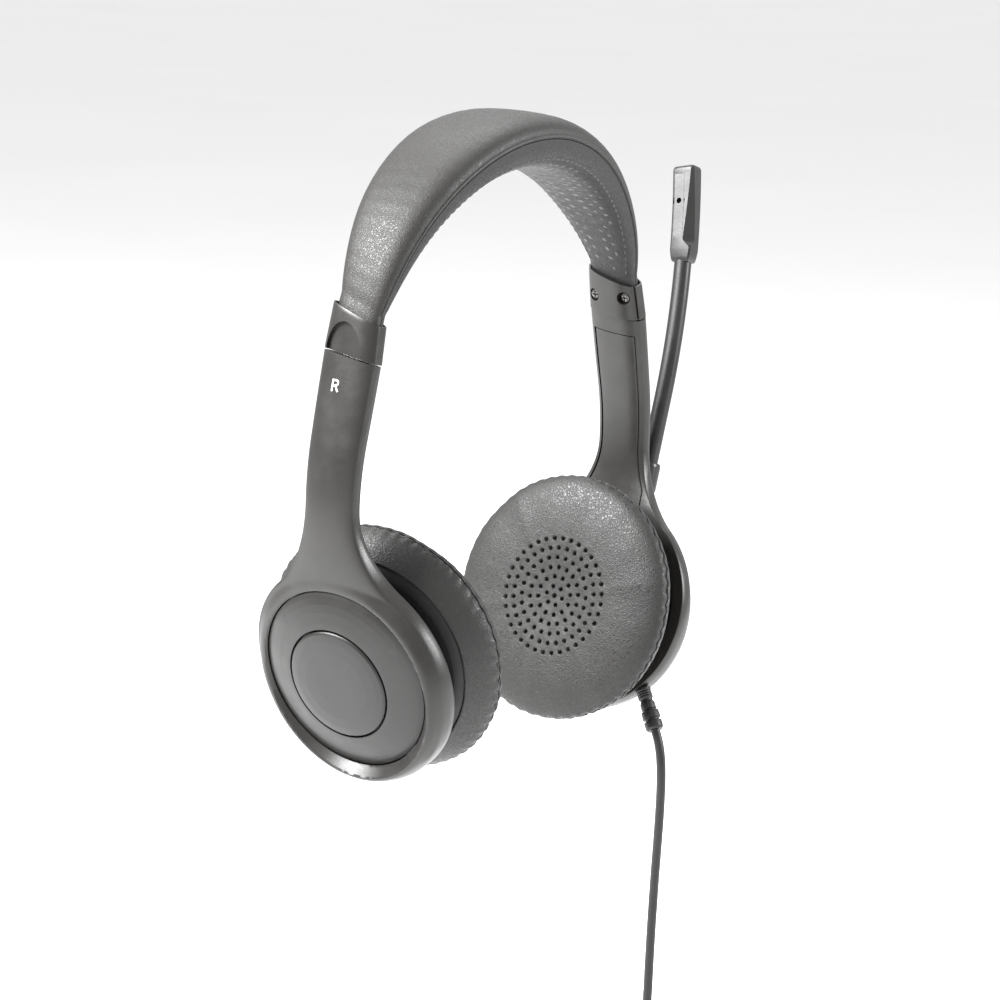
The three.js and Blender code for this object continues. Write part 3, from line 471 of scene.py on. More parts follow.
def smooth_path(points, per=6):
    """A centripetal curve through the points."""
    p = np.asarray(points, float)
    p = np.vstack([2 * p[0] - p[1], p, 2 * p[-1] - p[-2]])
    out = []
    for i in range(1, len(p) - 2):
        t = [0.0]
        for k in range(3):
            t.append(t[-1] + max(np.linalg.norm(p[i + k] - p[i + k - 1]), 1e-6) ** 0.5)
        for u in np.linspace(t[1], t[2], per, endpoint=False):
            a1 = (t[1] - u) / (t[1] - t[0]) * p[i - 1] + (u - t[0]) / (t[1] - t[0]) * p[i]
            a2 = (t[2] - u) / (t[2] - t[1]) * p[i] + (u - t[1]) / (t[2] - t[1]) * p[i + 1]
            a3 = (t[3] - u) / (t[3] - t[2]) * p[i + 1] + (u - t[2]) / (t[3] - t[2]) * p[i + 2]
            b1 = (t[2] - u) / (t[2] - t[0]) * a1 + (u - t[0]) / (t[2] - t[0]) * a2
            b2 = (t[3] - u) / (t[3] - t[1]) * a2 + (u - t[1]) / (t[3] - t[1]) * a3
            out.append((t[2] - u) / (t[2] - t[1]) * b1 + (u - t[1]) / (t[2] - t[1]) * b2)
    out.append(p[-2])
    return np.array(out)


def make_cord():
    line = smooth_path(cord_points())
    length = float(np.linalg.norm(np.diff(line, axis=0), axis=1).sum())
    print("cord length mm", round(length))
    data = bpy.data.curves.new("cord_run", "CURVE")
    data.dimensions = "3D"
    data.bevel_depth = CORD_D / 2 * MM
    data.bevel_resolution = 5
    data.use_fill_caps = True
    spline = data.splines.new("POLY")
    spline.points.add(len(line) - 1)
    spline.points.foreach_set("co", np.hstack([line * MM, np.ones((len(line), 1))]).ravel())
    spline.use_smooth = True
    data.materials.append(CORD_RUBBER)
    obj = bpy.data.objects.new("cord_run", data)
    bpy.context.scene.collection.objects.link(obj)
    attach(obj, "arm_l")
    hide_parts("cord", "cord_hank")
    return obj, length


cord_run, CORD_LENGTH = make_cord()


# ------------------------------------------------------------------ headband
ARCH_R, ARCH_Z, COLLAR_DEG = 60.0, -51.6, 12.6
HALF_ARC = ARCH_R * (math.pi / 2 - rad(COLLAR_DEG))
TOP_SLANT, BOTTOM_SLANT = math.tan(rad(18)), math.tan(rad(8.5))
PLAIN, BAND_SPREAD = 0.1, 0.9
COVER_POWER, LINING_POWER = 2.7, 2.9
SKIN_LIFT = 0.12
BAND_FROM = 5.35 - 1.2


def on_arch(along, y, n):
    angle = rad(COLLAR_DEG) + along / ARCH_R
    return vec((ARCH_R + n) * math.cos(angle), y, ARCH_Z + (ARCH_R + n) * math.sin(angle))


def band_shape(along):
    side = min(along, 2 * HALF_ARC - along)
    u = float(np.clip((side / HALF_ARC - PLAIN) / (1 - PLAIN), 0, 1))
    swell = math.sin(u * math.pi / 2)
    return {
        "w": mix(13.5, 31, swell ** BAND_SPREAD) / 2,
        "outer": mix(2.75, 6.1, 1 - (1 - u) ** 3),
        "inner": mix(2.85, 8.4, swell ** BAND_SPREAD),
        "slant": TOP_SLANT * (1 - smooth(0, 0.4, u)) * (1 if along <= HALF_ARC else -1),
        "u": u,
    }


def wave(*xs):
    """Slow, seeded unevenness between -1 and 1."""
    return sum(math.sin(x * (0.7 + 0.45 * i) + 1.7 * i) for i, x in enumerate(xs)) / max(1, len(xs))


def band_points(along, sign, power, height, w, count, skin=0.0):
    out = []
    for k in range(count):
        angle = math.pi * k / (count - 1)
        c, s = -math.cos(angle), math.sin(angle)
        y = (w - skin) * math.copysign(abs(c) ** (2 / power), c)
        n = sign * (height - skin) * abs(s) ** (2 / power)
        if not skin:
            n += sign * 0.10 * s * wave(along * 0.35 + y * 0.2, y * 0.6, along * 0.9)
        out.append((y, n))
    return out


def band_skin(name, sign, power, key, lift, material, slot, node):
    stations = np.linspace(BAND_FROM, 2 * HALF_ARC - BAND_FROM, many(300))
    count = many(56)
    rows = []
    for along in stations:
        s = band_shape(along)
        outer = band_points(along, sign, power, s[key], s["w"], count)
        inner = band_points(along, sign, power, s[key], s["w"], count, 1.1)[::-1]
        rows.append([on_arch(along + y * s["slant"], y, n + lift) for y, n in outer + inner])
    obj = loft(name, rows, material, "headband", slot, smooth_deg=60)
    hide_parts(node)
    return obj


band_cover = band_skin("band_cover_leather", 1, COVER_POWER, "outer", SKIN_LIFT,
                       BAND_LEATHER, "band_leather", "band_cover")
band_lining = band_skin("band_lining_leather", -1, LINING_POWER, "inner", -SKIN_LIFT,
                        LINING, "lining_leather", "band_lining")


LINING_HOLE_PITCH = (3.6, 2.3)
LINING_HOLE_EDGE = (0.24, 0.45)


def mark_lining(obj):
    """Staggered perforations over the lining, as a shade mask on its points."""
    mesh = obj.data
    co = np.array([obj.matrix_world @ v.co for v in mesh.vertices]) / MM
    angle = np.arctan2(co[:, 2] - ARCH_Z, co[:, 0])
    along = (angle - rad(COLLAR_DEG)) * ARCH_R
    radius = np.hypot(co[:, 0], co[:, 2] - ARCH_Z)
    pitch_s, pitch_y = LINING_HOLE_PITCH
    row = np.round(co[:, 1] / pitch_y)
    shift = (row % 2) * pitch_s / 2
    ds = (along + shift) - np.round((along + shift) / pitch_s) * pitch_s
    dy = co[:, 1] - row * pitch_y
    mask = 1 - smooth(*LINING_HOLE_EDGE, np.hypot(ds, dy))
    half = np.array([band_shape(float(a))["w"] if 0 < a < 2 * HALF_ARC else 6 for a in along])
    mask *= (np.abs(co[:, 1]) < half - 3.2) & (radius < ARCH_R - 3)
    data = mesh.attributes.new("holes", "FLOAT", "POINT")
    data.data.foreach_set("value", mask.astype(np.float32))


mark_lining(band_lining)


def tube(name, line, radius, material, body, slot, sides=10):
    """Round tube along a line of points, as a mesh with closed ends."""
    line = np.asarray(line, float)
    tangents = np.gradient(line, axis=0)
    rows = []
    side = None
    for p, t in zip(line, tangents):
        t = t / np.linalg.norm(t)
        if side is None:
            side = np.cross(t, vec(0, 1, 0.13))
        side = side - t * (side @ t)
        side /= np.linalg.norm(side)
        other = np.cross(t, side)
        rows.append([p + radius * (math.cos(a) * side + math.sin(a) * other)
                     for a in np.linspace(0, 2 * math.pi, sides, endpoint=False)])
    return loft(name, rows, material, body, slot, smooth_deg=60)


def stitches(name, line, spacing, length, radius, body, lift=0.0, normals=None):
    """A row of short raised threads that follow a line."""
    line = np.asarray(line, float)
    gaps = np.linalg.norm(np.diff(line, axis=0), axis=1)
    run = np.concatenate([[0], np.cumsum(gaps)])
    points, faces = [], []
    at = spacing / 2
    while at + length < run[-1]:
        stations = np.linspace(at, at + length, 5)
        pts = np.array([[np.interp(s, run, line[:, k]) for k in range(3)] for s in stations])
        t = pts[-1] - pts[0]
        t /= np.linalg.norm(t)
        side = np.cross(t, vec(0.2, 1, 0.1))
        side /= np.linalg.norm(side)
        other = np.cross(t, side)
        base = len(points)
        for p, w in zip(pts, (0.35, 0.9, 1.0, 0.9, 0.35)):
            for a in np.linspace(0, 2 * math.pi, 6, endpoint=False):
                points.append(p + radius * w * (math.cos(a) * side + math.sin(a) * other))
        faces += [tuple(base + i for i in f) for f in grid_faces(5, 6)]
        at += spacing
    return mesh_object(name, points, faces, THREAD, body, 60)


def band_edge(front, inset, sign, key, power, lift):
    """Line that follows the band near one edge, on the cover (+1) or the lining (-1)."""
    out = []
    for along in np.linspace(BAND_FROM + 3.5, 2 * HALF_ARC - BAND_FROM - 3.5, many(260)):
        s = band_shape(along)
        y = (s["w"] - inset) * (-1 if front else 1)
        part = min(1.0, abs(y) / s["w"])
        n = sign * (s[key] * (1 - part ** power) ** (1 / power) + lift)
        out.append(on_arch(along + y * s["slant"], y, n))
    return out


for front in (True, False):
    where = "front" if front else "back"
    tube(f"band_piping_{where}", band_edge(front, 0.1, 1, "outer", COVER_POWER, -0.55),
         0.42, PIPING, "headband", "band_leather")
    stitches(f"band_stitch_{where}", band_edge(front, 1.5, -1, "inner", LINING_POWER, 0.08),
             2.3, 1.6, 0.2, "headband")


# ------------------------------------------------------------------ sides
ARM_ARC_R, RING_DEG, ARM_STRAIGHT = 74.0, 17.0, 26.4
RING_R, BORE_R, CAVITY_R = 30.0, 24.9, 26.5
RIM_FALL, BEVEL = 2.8, 2.4
ARC_START = BORE_R
ARC_END = ARC_START + ARM_ARC_R * rad(COLLAR_DEG + RING_DEG)
COLLAR_UP = ARC_END + ARM_STRAIGHT
HALF_H, TOP_W, BOTTOM_W, THICK, INNER_THICK = 5.35, 7.6, 8.2, 4.0, 4.45
EDGE, FACE_POWER, INNER_PART = 0.9, 2.4, 0.92
SPINE_Q, RING_BACK, PIVOT_Q = -6.4, -9.5, -8.0
ARM_GAP = 0.4
# slot for the steel strip: across, then through the arm's thickness
STRIP_SLOT = ((-2.8, 3.4), (-1.1, 0.5))
ARM_TOP = COLLAR_UP - HALF_H - ARM_GAP


def direction(deg):
    a = rad(deg)
    return vec(-math.sin(a), 0, math.cos(a)), vec(math.cos(a), 0, math.sin(a))


COLLAR_AT = on_arch(0, 0, 0)
C_UP, C_OUT = direction(COLLAR_DEG)
R_UP, R_OUT = direction(-RING_DEG)
ARC_TOP = COLLAR_AT - ARM_STRAIGHT * C_UP
ARC_CENTRE = ARC_TOP - ARM_ARC_R * C_OUT
ARC_BOTTOM = ARC_CENTRE + ARM_ARC_R * R_OUT
RING_AT = ARC_BOTTOM - BORE_R * R_UP - SPINE_Q * R_OUT


def on_spine(up, y, n):
    if up >= ARC_END:
        at, out = ARC_TOP + C_UP * (up - ARC_END), C_OUT
    elif up > ARC_START:
        _, out = direction(-RING_DEG + math.degrees((up - ARC_START) / ARM_ARC_R))
        at = ARC_CENTRE + out * ARM_ARC_R
    else:
        at, out = ARC_BOTTOM + R_UP * (up - ARC_START), R_OUT
    p = at + out * n
    return vec(p[0], y, p[2])


def lens(y, w, centre):
    return EDGE + (centre - EDGE) * math.sqrt(max(0.0, 1 - abs(y / w) ** FACE_POWER))


def arm_half_width(up):
    centre_y = 7.7 + 30
    centre_up = math.sqrt((RING_R + 30) ** 2 - centre_y ** 2)
    tangent = centre_up * RING_R / (RING_R + 30)
    if up <= tangent:
        return math.sqrt(max(0.0, RING_R ** 2 - up ** 2))
    if up < centre_up:
        return centre_y - math.sqrt(900 - (centre_up - up) ** 2)
    return mix(7.7, BOTTOM_W, smooth(centre_up, ARM_TOP, up))


def smooth_max(a, b, k):
    h = float(np.clip(0.5 + 0.5 * (a - b) / k, 0, 1))
    return mix(b, a, h) + k * h * (1 - h)


def ring_skin(up, y):
    radius = math.hypot(up, y)
    angle = math.atan2(-y, up) + rad(30)
    low = (1 + math.cos(angle)) / 2
    rim = -0.5 - RIM_FALL * low
    crest = BORE_R + BEVEL * (1 - low)
    beyond = max(0.0, radius - crest) / (RING_R - crest)
    within = float(np.clip((crest - radius) / BEVEL, 0, 1))
    return rim - 4.5 * beyond ** 2.2 - RIM_FALL * within - SPINE_Q


def arm_thick(up):
    return mix(3.1, 3.5, smooth(30, COLLAR_UP - HALF_H, up))


def arm_outer(up, y):
    fade = max(0.0, ARC_START - up) * 0.12
    arm = lens(y, arm_half_width(up), arm_thick(up) - fade)
    return arm if up > 40 else smooth_max(arm, ring_skin(up, y), 1.2)


def arm_inner(up, y):
    return -mix(SPINE_Q - RING_BACK, lens(y, arm_half_width(up), arm_thick(up)), smooth(26, 44, up))


def top_slant(up):
    return BOTTOM_SLANT * smooth(ARM_TOP - 14, ARM_TOP, up)


def slab_rows(stations, width, outer, inner, count, edge=0.45):
    """Sections of a plate with rounded edges, along the arm."""
    rows = []
    for up in stations:
        w = width(up)
        ys = [-w * math.cos(a) for a in np.linspace(0, math.pi, count)]
        section = []
        for side, ordered in ((outer, ys), (inner, ys[::-1])):
            for y in ordered:
                middle = (outer(up, y) + inner(up, y)) / 2
                n = side(up, y)
                room = min(1.0, max(0.0, w - abs(y)) / edge) if edge else 1.0
                section.append((y, middle + (n - middle) * math.sqrt(max(0.04, 1 - (1 - room) ** 2))))
        slant = top_slant(up)
        rows.append([on_spine(up + y * slant, y, n) for y, n in section])
    return rows


def flip(p):
    return vec(-p[0], p[1], p[2])


def ring_place(p):
    """Ring frame: x up, y to the front, z outward."""
    return RING_AT + p[0] * R_UP + vec(0, -p[1], 0) + p[2] * R_OUT


def collar_place(y0=0.0):
    return lambda p: COLLAR_AT + p[0] * C_UP + vec(0, y0 - p[1], 0) + p[2] * C_OUT


def cup_place(swivel_deg, tilt_deg):
    """Cup frame at the pivot: x up, y to the back, z inboard."""
    base = np.column_stack([R_UP, vec(0, 1, 0), -R_OUT])
    a, b = -rad(swivel_deg), -rad(tilt_deg)
    rx = np.array([[1, 0, 0], [0, math.cos(a), -math.sin(a)], [0, math.sin(a), math.cos(a)]])
    ry = np.array([[math.cos(b), 0, math.sin(b)], [0, 1, 0], [-math.sin(b), 0, math.cos(b)]])
    m = base @ rx @ ry
    pivot = RING_AT + PIVOT_Q * R_OUT
    return lambda p: pivot + m @ p


def arm_stations():
    low = [RING_R * math.cos(a) for a in np.linspace(math.pi - 0.02, math.pi / 2, many(70))]
    return low + list(np.linspace(0.6, 46, many(80))) + list(np.linspace(47, ARM_TOP, many(50)))


COVER_FROM_UP, COVER_TO_UP = 27.5, 79.0


def cover_width(up):
    return min(arm_half_width(up) - 1.5, 9.5)


def make_arm(side, on):
    rows = slab_rows(arm_stations(), arm_half_width, arm_outer, arm_inner, many(96))
    rows = [[on(p) for p in row] for row in rows]
    arm = loft(f"arm_shell_{side}_fine", rows, SHELL, None, "satin_plastic")
    place = lambda p: on(ring_place(p))
    channel = slab_rows(np.linspace(20, COVER_TO_UP, many(60)), cover_width,
                        lambda u, y: arm_inner(u, y) + 3, lambda u, y: arm_inner(u, y) - 3, many(14), 0)
    slot_place = collar_place()
    (y0, y1), (n0, n1) = STRIP_SLOT
    corners = [(y0, n0), (y1, n0), (y1, n1), (y0, n1)]
    slot_rows = [[on(slot_place(vec(x, -y, n))) for y, n in corners] for x in (-15.5, 0)]
    carve(arm, [
        cutter_round("bore", place, BORE_R, -14, 6),
        cutter_round("cavity", place, CAVITY_R, -14, -6),
        cutter_rows("channel", [[on(p) for p in row] for row in channel]),
        cutter_rows("strip_slot", slot_rows),
    ])
    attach(arm, f"arm_{side}")
    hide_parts(f"arm_shell_{side}")
    cover = slab_rows(
        np.linspace(COVER_FROM_UP, COVER_TO_UP - 0.3, many(80)),
        lambda u: cover_width(u) - 0.25,
        lambda u, y: arm_inner(u, y) + 1.2,
        lambda u, y: arm_inner(u, y) + 0.15,
        many(30), 0.3,
    )
    inner = loft(f"arm_cover_{side}_fine", [[on(p) for p in row] for row in cover],
                 SHELL, f"arm_{side}", "satin_plastic")
    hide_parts(f"arm_cover_{side}")


def collar_rows(front, back, scale, count):
    """Sections from the slanted bottom of a collar to its slanted top."""
    rows = []
    for level in np.linspace(-1, 1, many(40)):
        half = mix(BOTTOM_W, TOP_W, (level + 1) / 2)
        soft = 1 - 0.035 * abs(level) ** 14
        ys = [-half * scale * math.cos(a) for a in np.linspace(0, math.pi, count)]
        pts = [(y, front(y, half) * soft) for y in ys] + [(y, back(y, half)) for y in ys[::-1]]
        slant = mix(BOTTOM_SLANT, TOP_SLANT, (level + 1) / 2)
        rows.append([on_spine(COLLAR_UP + level * HALF_H + y * slant, y, n) for y, n in pts])
    return rows


# thumb notch in the bottom edge of each collar, and the two screws behind it
NOTCH_Y, NOTCH_HALF, NOTCH_HEIGHT = 0.9, 5.7, 8
SCREWS_Y = (5.0, -4.6)
PILOT_R, WELL_R = 1.05, 1.8


def make_collar(side, on):
    place = collar_place()
    count = many(48)
    outer = collar_rows(
        lambda y, w: lens(y, w, THICK), lambda y, w: max(-lens(y, w, THICK), -1.6), 1.0, count,
    )
    shell = loft(f"collar_outer_{side}_fine", [[on(p) for p in r] for r in outer],
                 SHELL, None, "satin_plastic")

    def socket(name):
        section = superellipse(13.5 / 2 + 0.45, 1.0, 3, many(60))
        section[:, 1] *= np.where(section[:, 1] > 0, 3.3, 3.85)
        return cutter_rows(name, [[on(on_spine(COLLAR_UP + s + y * TOP_SLANT, y, n)) for y, n in section]
                                  for s in (BAND_FROM - 0.3, HALF_H + 6)])

    def slab(name, x, y, z):
        ring = [(y[0], z[0]), (y[1], z[0]), (y[1], z[1]), (y[0], z[1])]
        return cutter_rows(name, [[on(place(vec(xx, -a, b))) for a, b in ring] for xx in x])

    def notch():
        arc = [(NOTCH_Y + NOTCH_HALF * math.cos(a), NOTCH_HEIGHT * math.sin(a))
               for a in np.linspace(0, math.pi, many(48))]
        arc += [(NOTCH_Y - NOTCH_HALF, -4), (NOTCH_Y + NOTCH_HALF, -4)]
        return cutter_rows("notch", [[on(on_spine(COLLAR_UP - HALF_H + v + y * BOTTOM_SLANT, y,
                                                  lens(y, BOTTOM_W, THICK) - 1 + up)) for y, v in arc]
                                     for up in (0, 8)])

    carve(shell, [socket("socket"), slab("strip_slot", (-14, 14), (-3.0, 3.4), (-1.1, 0.5)),
                  slab("pocket", (-3, 12), (-4.1, 4.1), (-1.95, -0.75)), notch()])
    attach(shell, "headband")
    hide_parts(f"collar_outer_{side}")
    inner = collar_rows(lambda y, w: -1.9, lambda y, w: -lens(y, w, INNER_THICK), INNER_PART, count)
    plate = loft(f"collar_inner_{side}_fine", [[on(p) for p in r] for r in inner],
                 SHELL, None, "satin_plastic")
    wells = []
    for y in SCREWS_Y:
        wells.append(cutter_round("pilot", lambda p, y=y: on(collar_place(y)(p)), PILOT_R, -6, 0, 40))
        wells.append(cutter_round("well", lambda p, y=y: on(collar_place(y)(p)), WELL_R, -6, -2.3, 60))
    carve(plate, [socket("socket"), slab("pocket", (-3, 12), (-4.1, 4.1), (-1.95, -0.75))] + wells)
    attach(plate, "headband")
    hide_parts(f"collar_inner_{side}")
    for i, y in enumerate(SCREWS_Y, 1):
        make_screw(f"collar_screw_{i}_{side}", lambda p, y=y: on(collar_place(y)(p)))


def make_screw(node, place):
    """Pan head with a cross recess."""
    screw = turned(node + "_fine", place, [
        (0, -3.35), (0.8, -3.32), (1.3, -3.15), (1.5, -2.85), (1.5, -2.5), (0.8, -2.5), (0.8, 0.7), (0, 0.7),
    ], SCREW, None, "screw_steel", 48, 0.08)
    blades = []
    for long_x in (True, False):
        a, b = (0.95, 0.2) if long_x else (0.2, 0.95)
        rows = []
        for z, k in ((-4.0, 1.1), (-2.75, 0.7)):
            half_x, half_y = (a * k, b) if long_x else (a, b * k)
            corners = ((half_x, half_y), (-half_x, half_y), (-half_x, -half_y), (half_x, -half_y))
            rows.append([place(vec(x, y, z)) for x, y in corners])
        blades.append(cutter_rows("blade", rows))
    carve(screw, blades)
    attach(screw, "headband")
    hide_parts(node)


# dish and cap on the outside of each cup
DISH_PROFILE = [
    (0, -3.2), (14, -3.2), (19.5, -4.1), (24.6, -4.1), (24.6, -3.5), (23.2, -2.75),
    (21.6, -2.1), (19.6, -1.45), (17.4, -0.85), (15.3, -0.3), (15.1, -1.7), (0, -1.7),
]
CAP_PROFILE = [
    (0, -1.4), (14.8, -1.4), (14.8, -0.3), (14.3, 0.12), (12.4, 0.5), (9.5, 0.84), (6, 1.0), (0, 1.06),
]


def make_dish(side, on):
    place = lambda p: on(ring_place(p))
    body = "boom" if side == "l" else "arm_r"
    dish = turned(f"dish_{side}_fine", place, DISH_PROFILE, DISH, body, "dish_plastic",
                  200, 0.22, smooth_deg=30)
    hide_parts("boom_hub" if side == "l" else "dish_r")
    cap = turned(f"cap_{side}_fine", place, CAP_PROFILE, CAP, body, "cap_plastic", 160, 0.2, smooth_deg=30)
    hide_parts(f"cap_{side}")


# ------------------------------------------------------------------ ear cups
RIM_Z = 11.8
PAD_R, PAD_BACK, PAD_SEAM, PAD_FACE, PAD_BORE, PAD_ROOF = 34.0, 6.9, 15.0, 20.3, 28.0, 13.7
HOLE_PITCH, HOLE_R, HOLE_RINGS = 2.65, 0.55, 7


def hole_centres():
    out = [(0.0, 0.0)]
    for ring in range(1, HOLE_RINGS):
        for k in range(6 * ring):
            angle = 2 * math.pi * k / (6 * ring) + 0.35 * ring
            out.append((ring * HOLE_PITCH * math.cos(angle), ring * HOLE_PITCH * math.sin(angle)))
    return np.array(out)


def pad_profile():
    """Front surface from the middle to the seam, then back to the rear opening."""
    flat = 17.0
    front = [(r, PAD_FACE - 0.75 * smooth(flat, 0, r)) for r in np.arange(0, flat, 0.25)]
    roll_height = PAD_FACE - PAD_SEAM - 0.4
    roll = [(mix(flat, PAD_R - 0.1, math.sin(a) ** 0.92), PAD_SEAM + 0.4 + roll_height * math.cos(a) ** 0.85)
            for a in np.linspace(0.0, math.pi / 2, many(56))]
    seam = [(PAD_R - 0.45, PAD_SEAM + 0.25), (PAD_R - 0.75, PAD_SEAM), (PAD_R - 0.45, PAD_SEAM - 0.25)]
    side = [(mix(PAD_R - 0.1, PAD_BORE + 0.3, t ** 1.35) + 0.35 * math.sin(math.pi * t),
             mix(PAD_SEAM - 0.45, PAD_BACK, t)) for t in np.linspace(0, 1, many(40))]
    rear = [(PAD_BORE, PAD_BACK), (PAD_BORE, PAD_BACK + 1.5), (PAD_BORE, PAD_ROOF), (0, PAD_ROOF)]
    return front + roll + seam + side + rear


def make_pad(side, on, place):
    holes = hole_centres()
    profile = pad_profile()
    count = many(420)
    phase = 0.0 if side == "l" else 1.3
    points, mask = [], []
    for i in range(count):
        angle = 2 * math.pi * i / count
        pucker = math.sin(58 * angle + 2.2 * math.sin(3 * angle + phase) + phase)
        loose = math.sin(5 * angle + phase) + 0.6 * math.sin(11 * angle + 2.0 + phase)
        for r, z in profile:
            near = math.exp(-((z - PAD_SEAM) / 2.2) ** 2) * smooth(24, 32, r)
            dr = near * (0.2 * pucker - 0.1) + smooth(20, 32, r) * (0.1 * loose - 0.1)
            dz = -near * 0.1 * pucker - smooth(12, 28, r) * (1 if z > PAD_SEAM else 0) * 0.14 * abs(loose)
            hole = 0.0
            x, y = r * math.cos(angle), r * math.sin(angle)
            # Each perforation is a shallow dimple; the same mask turns it near-black in pad_leather: painted
            # shade inside the holes.
            if r < 18 and z > PAD_ROOF + 1:
                gap = np.hypot(holes[:, 0] - x, holes[:, 1] - y).min()
                hole = float(1 - smooth(HOLE_R - 0.2, HOLE_R + 0.12, gap))
                dz += -1.1 * hole + 0.05 * math.sin(x * 1.1 + 0.7) * math.sin(y * 0.9)
            if r < 0.001:
                dr = 0.0
            points.append(on(place(vec((r + dr) * math.cos(angle), (r + dr) * math.sin(angle), z + dz))))
            mask.append(hole)
    mesh = bpy.data.meshes.new(f"ear_pad_{side}_fine")
    faces = grid_faces(count, len(profile), closed=False, ring=True)
    mesh.from_pydata([tuple(p * MM) for p in points], [], faces)
    data = mesh.attributes.new("holes", "FLOAT", "POINT")
    data.data.foreach_set("value", np.array(mask, np.float32))
    bm = bmesh.new()
    bm.from_mesh(mesh)
    bmesh.ops.remove_doubles(bm, verts=bm.verts, dist=2e-6)
    bmesh.ops.dissolve_degenerate(bm, edges=bm.edges, dist=1e-7)
    bm.faces.ensure_lookup_table()
    bmesh.ops.recalc_face_normals(bm, faces=bm.faces)
    bm.to_mesh(mesh)
    bm.free()
    pad = bpy.data.objects.new(f"ear_pad_{side}_fine", mesh)
    bpy.context.scene.collection.objects.link(pad)
    dress(pad, PAD_LEATHER, 60)
    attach(pad, f"cup_{side}")
    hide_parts(f"ear_pad_{side}")
    ring = [on(place(vec((PAD_R - 0.45) * math.cos(a), (PAD_R - 0.45) * math.sin(a), PAD_SEAM - 0.55)))
            for a in np.linspace(0, 2 * math.pi, 400)]
    stitches(f"ear_pad_stitch_{side}", ring, 2.4, 1.6, 0.2, f"cup_{side}")


def make_cup(side, on, swivel, tilt):
    place = cup_place(swivel, tilt)
    at = lambda p: on(place(p))
    cup = f"cup_{side}"
    back = turned(f"cup_back_{side}_fine", at, [
        (0, -1), (5.6, -1), (5.6, 3), (14, 4), (25.2, 6.1), (27.6, 7.3), (27.6, RIM_Z), (26.2, RIM_Z),
        (26.2, 7.9), (14, 5.4), (0, 4.4),
    ], INNER, cup, "inner_plastic", 160, 0.2)
    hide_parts(f"cup_back_{side}")
    make_pad(side, on, place)


SIDES = {"l": (lambda p: p, 1.0, 3.0), "r": (flip, 5.6, 3.6)}
for side, (on, swivel, tilt) in SIDES.items():
    make_collar(side, on)
    make_arm(side, on)
    make_dish(side, on)
    make_cup(side, on, swivel, tilt)


# ------------------------------------------------------------------ boom
AXIS_Q = 2.6
ROD_R, SLEEVE_R = 2.4, 3.3
BOOM_OFFSET, BOOM_BEND = 2.0, 560.0
MIC_W, MIC_T, PORT_UP, PORT_X = 3.4, 2.5, 117.0, -1.1
MIC_SEAT_X, MIC_SEAT_UP = (-2.68, 0.48), (106.72, 124.78)
MIC_PLATE_X, MIC_PLATE_UP = (-2.6, 0.4), (106.8, 124.7)


def boom_front(up):
    return BOOM_OFFSET - max(0.0, up - 60) ** 2 / BOOM_BEND


def boom_slope(up):
    return -2 * max(0.0, up - 60) / BOOM_BEND


def on_boom(up, x, z):
    slope = boom_slope(up)
    length = math.hypot(1, slope)
    return ring_place(vec(up - x * slope / length, boom_front(up) + x / length, AXIS_Q + z))


def boom_loft(name, sections, material, slot, node=None, power=2.0, count=56):
    """sections: (up, half width, half thickness, offset outward)."""
    rows = []
    for up, rx, rz, shift in sections:
        shape = superellipse(rx, rz, power, many(count))
        rows.append([on_boom(up, x, z + shift) for x, z in shape])
    obj = loft(name, rows, material, "boom", slot, smooth_deg=34)
    if node:
        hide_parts(node)
    return obj


def make_boom():
    boom_loft("boom_tongue", [
        (16.8, 1.9, 0.2, -2.1), (17.4, 2.5, 0.7, -1.9), (20, 2.8, 1.15, -1.35), (24, 2.8, 1.9, -0.55),
        (27.5, 2.8, 2.35, -0.1), (29.1, 2.8, 2.5, 0.0), (29.5, 2.6, 2.3, 0.0),
    ], BOOM, "dish_plastic", power=3.6)
    sleeve = [
        (29.8, 2.75), (30.1, 3.0), (30.6, SLEEVE_R), (33.2, SLEEVE_R), (33.4, 3.1), (33.8, 3.1),
        (34.0, SLEEVE_R), (40.6, SLEEVE_R), (41.5, 3.2), (41.9, 2.9), (42.0, 2.5),
    ]
    sections = [(up, r, r, 0) for up, r in sleeve]
    boom_loft("boom_sleeve_fine", sections, BOOM, "boom_plastic", "boom_sleeve", 2.3)
    rod = [(41.0, ROD_R, ROD_R, 0)] + [(u, ROD_R, ROD_R * 0.96, 0) for u in np.linspace(43, 101.5, many(60))]
    boom_loft("boom_rod_fine", rod, ROD_RUBBER, "boom_rubber", "boom_rod", 2.2)
    make_mic()


def mic_section(w, t, bevel, corner=0.6, steps=4):
    """Bar with rounded corners, whose inner front corner carries a wider flat bevel."""
    corners = [(w, t), (-w, t), (-w, -t)]
    out = [(w, -t + 0.8 * bevel)]
    for i, (x, y) in enumerate(corners):
        cx, cy = x - math.copysign(corner, x), y - math.copysign(corner, y)
        for a in np.linspace(0, math.pi / 2, steps):
            turn = a + i * math.pi / 2
            out.append((cx + corner * math.cos(turn), cy + corner * math.sin(turn)))
    return out + [(w - bevel, -t)]


def mic_bevel(up):
    rise = smooth(103.2, 106.0, up)
    return mix(0.5, mix(2.7, 0.7, float(np.clip((up - 106) / 20.5, 0, 1))), rise)


def mic_slab(across, depth, ups):
    """A four-sided bar along the microphone end of the boom."""
    (x0, x1), (z0, z1) = across, depth
    ring = ((x0, z0), (x1, z0), (x1, z1), (x0, z1))
    return [[on_boom(u, x, z) for x, z in ring] for u in ups]


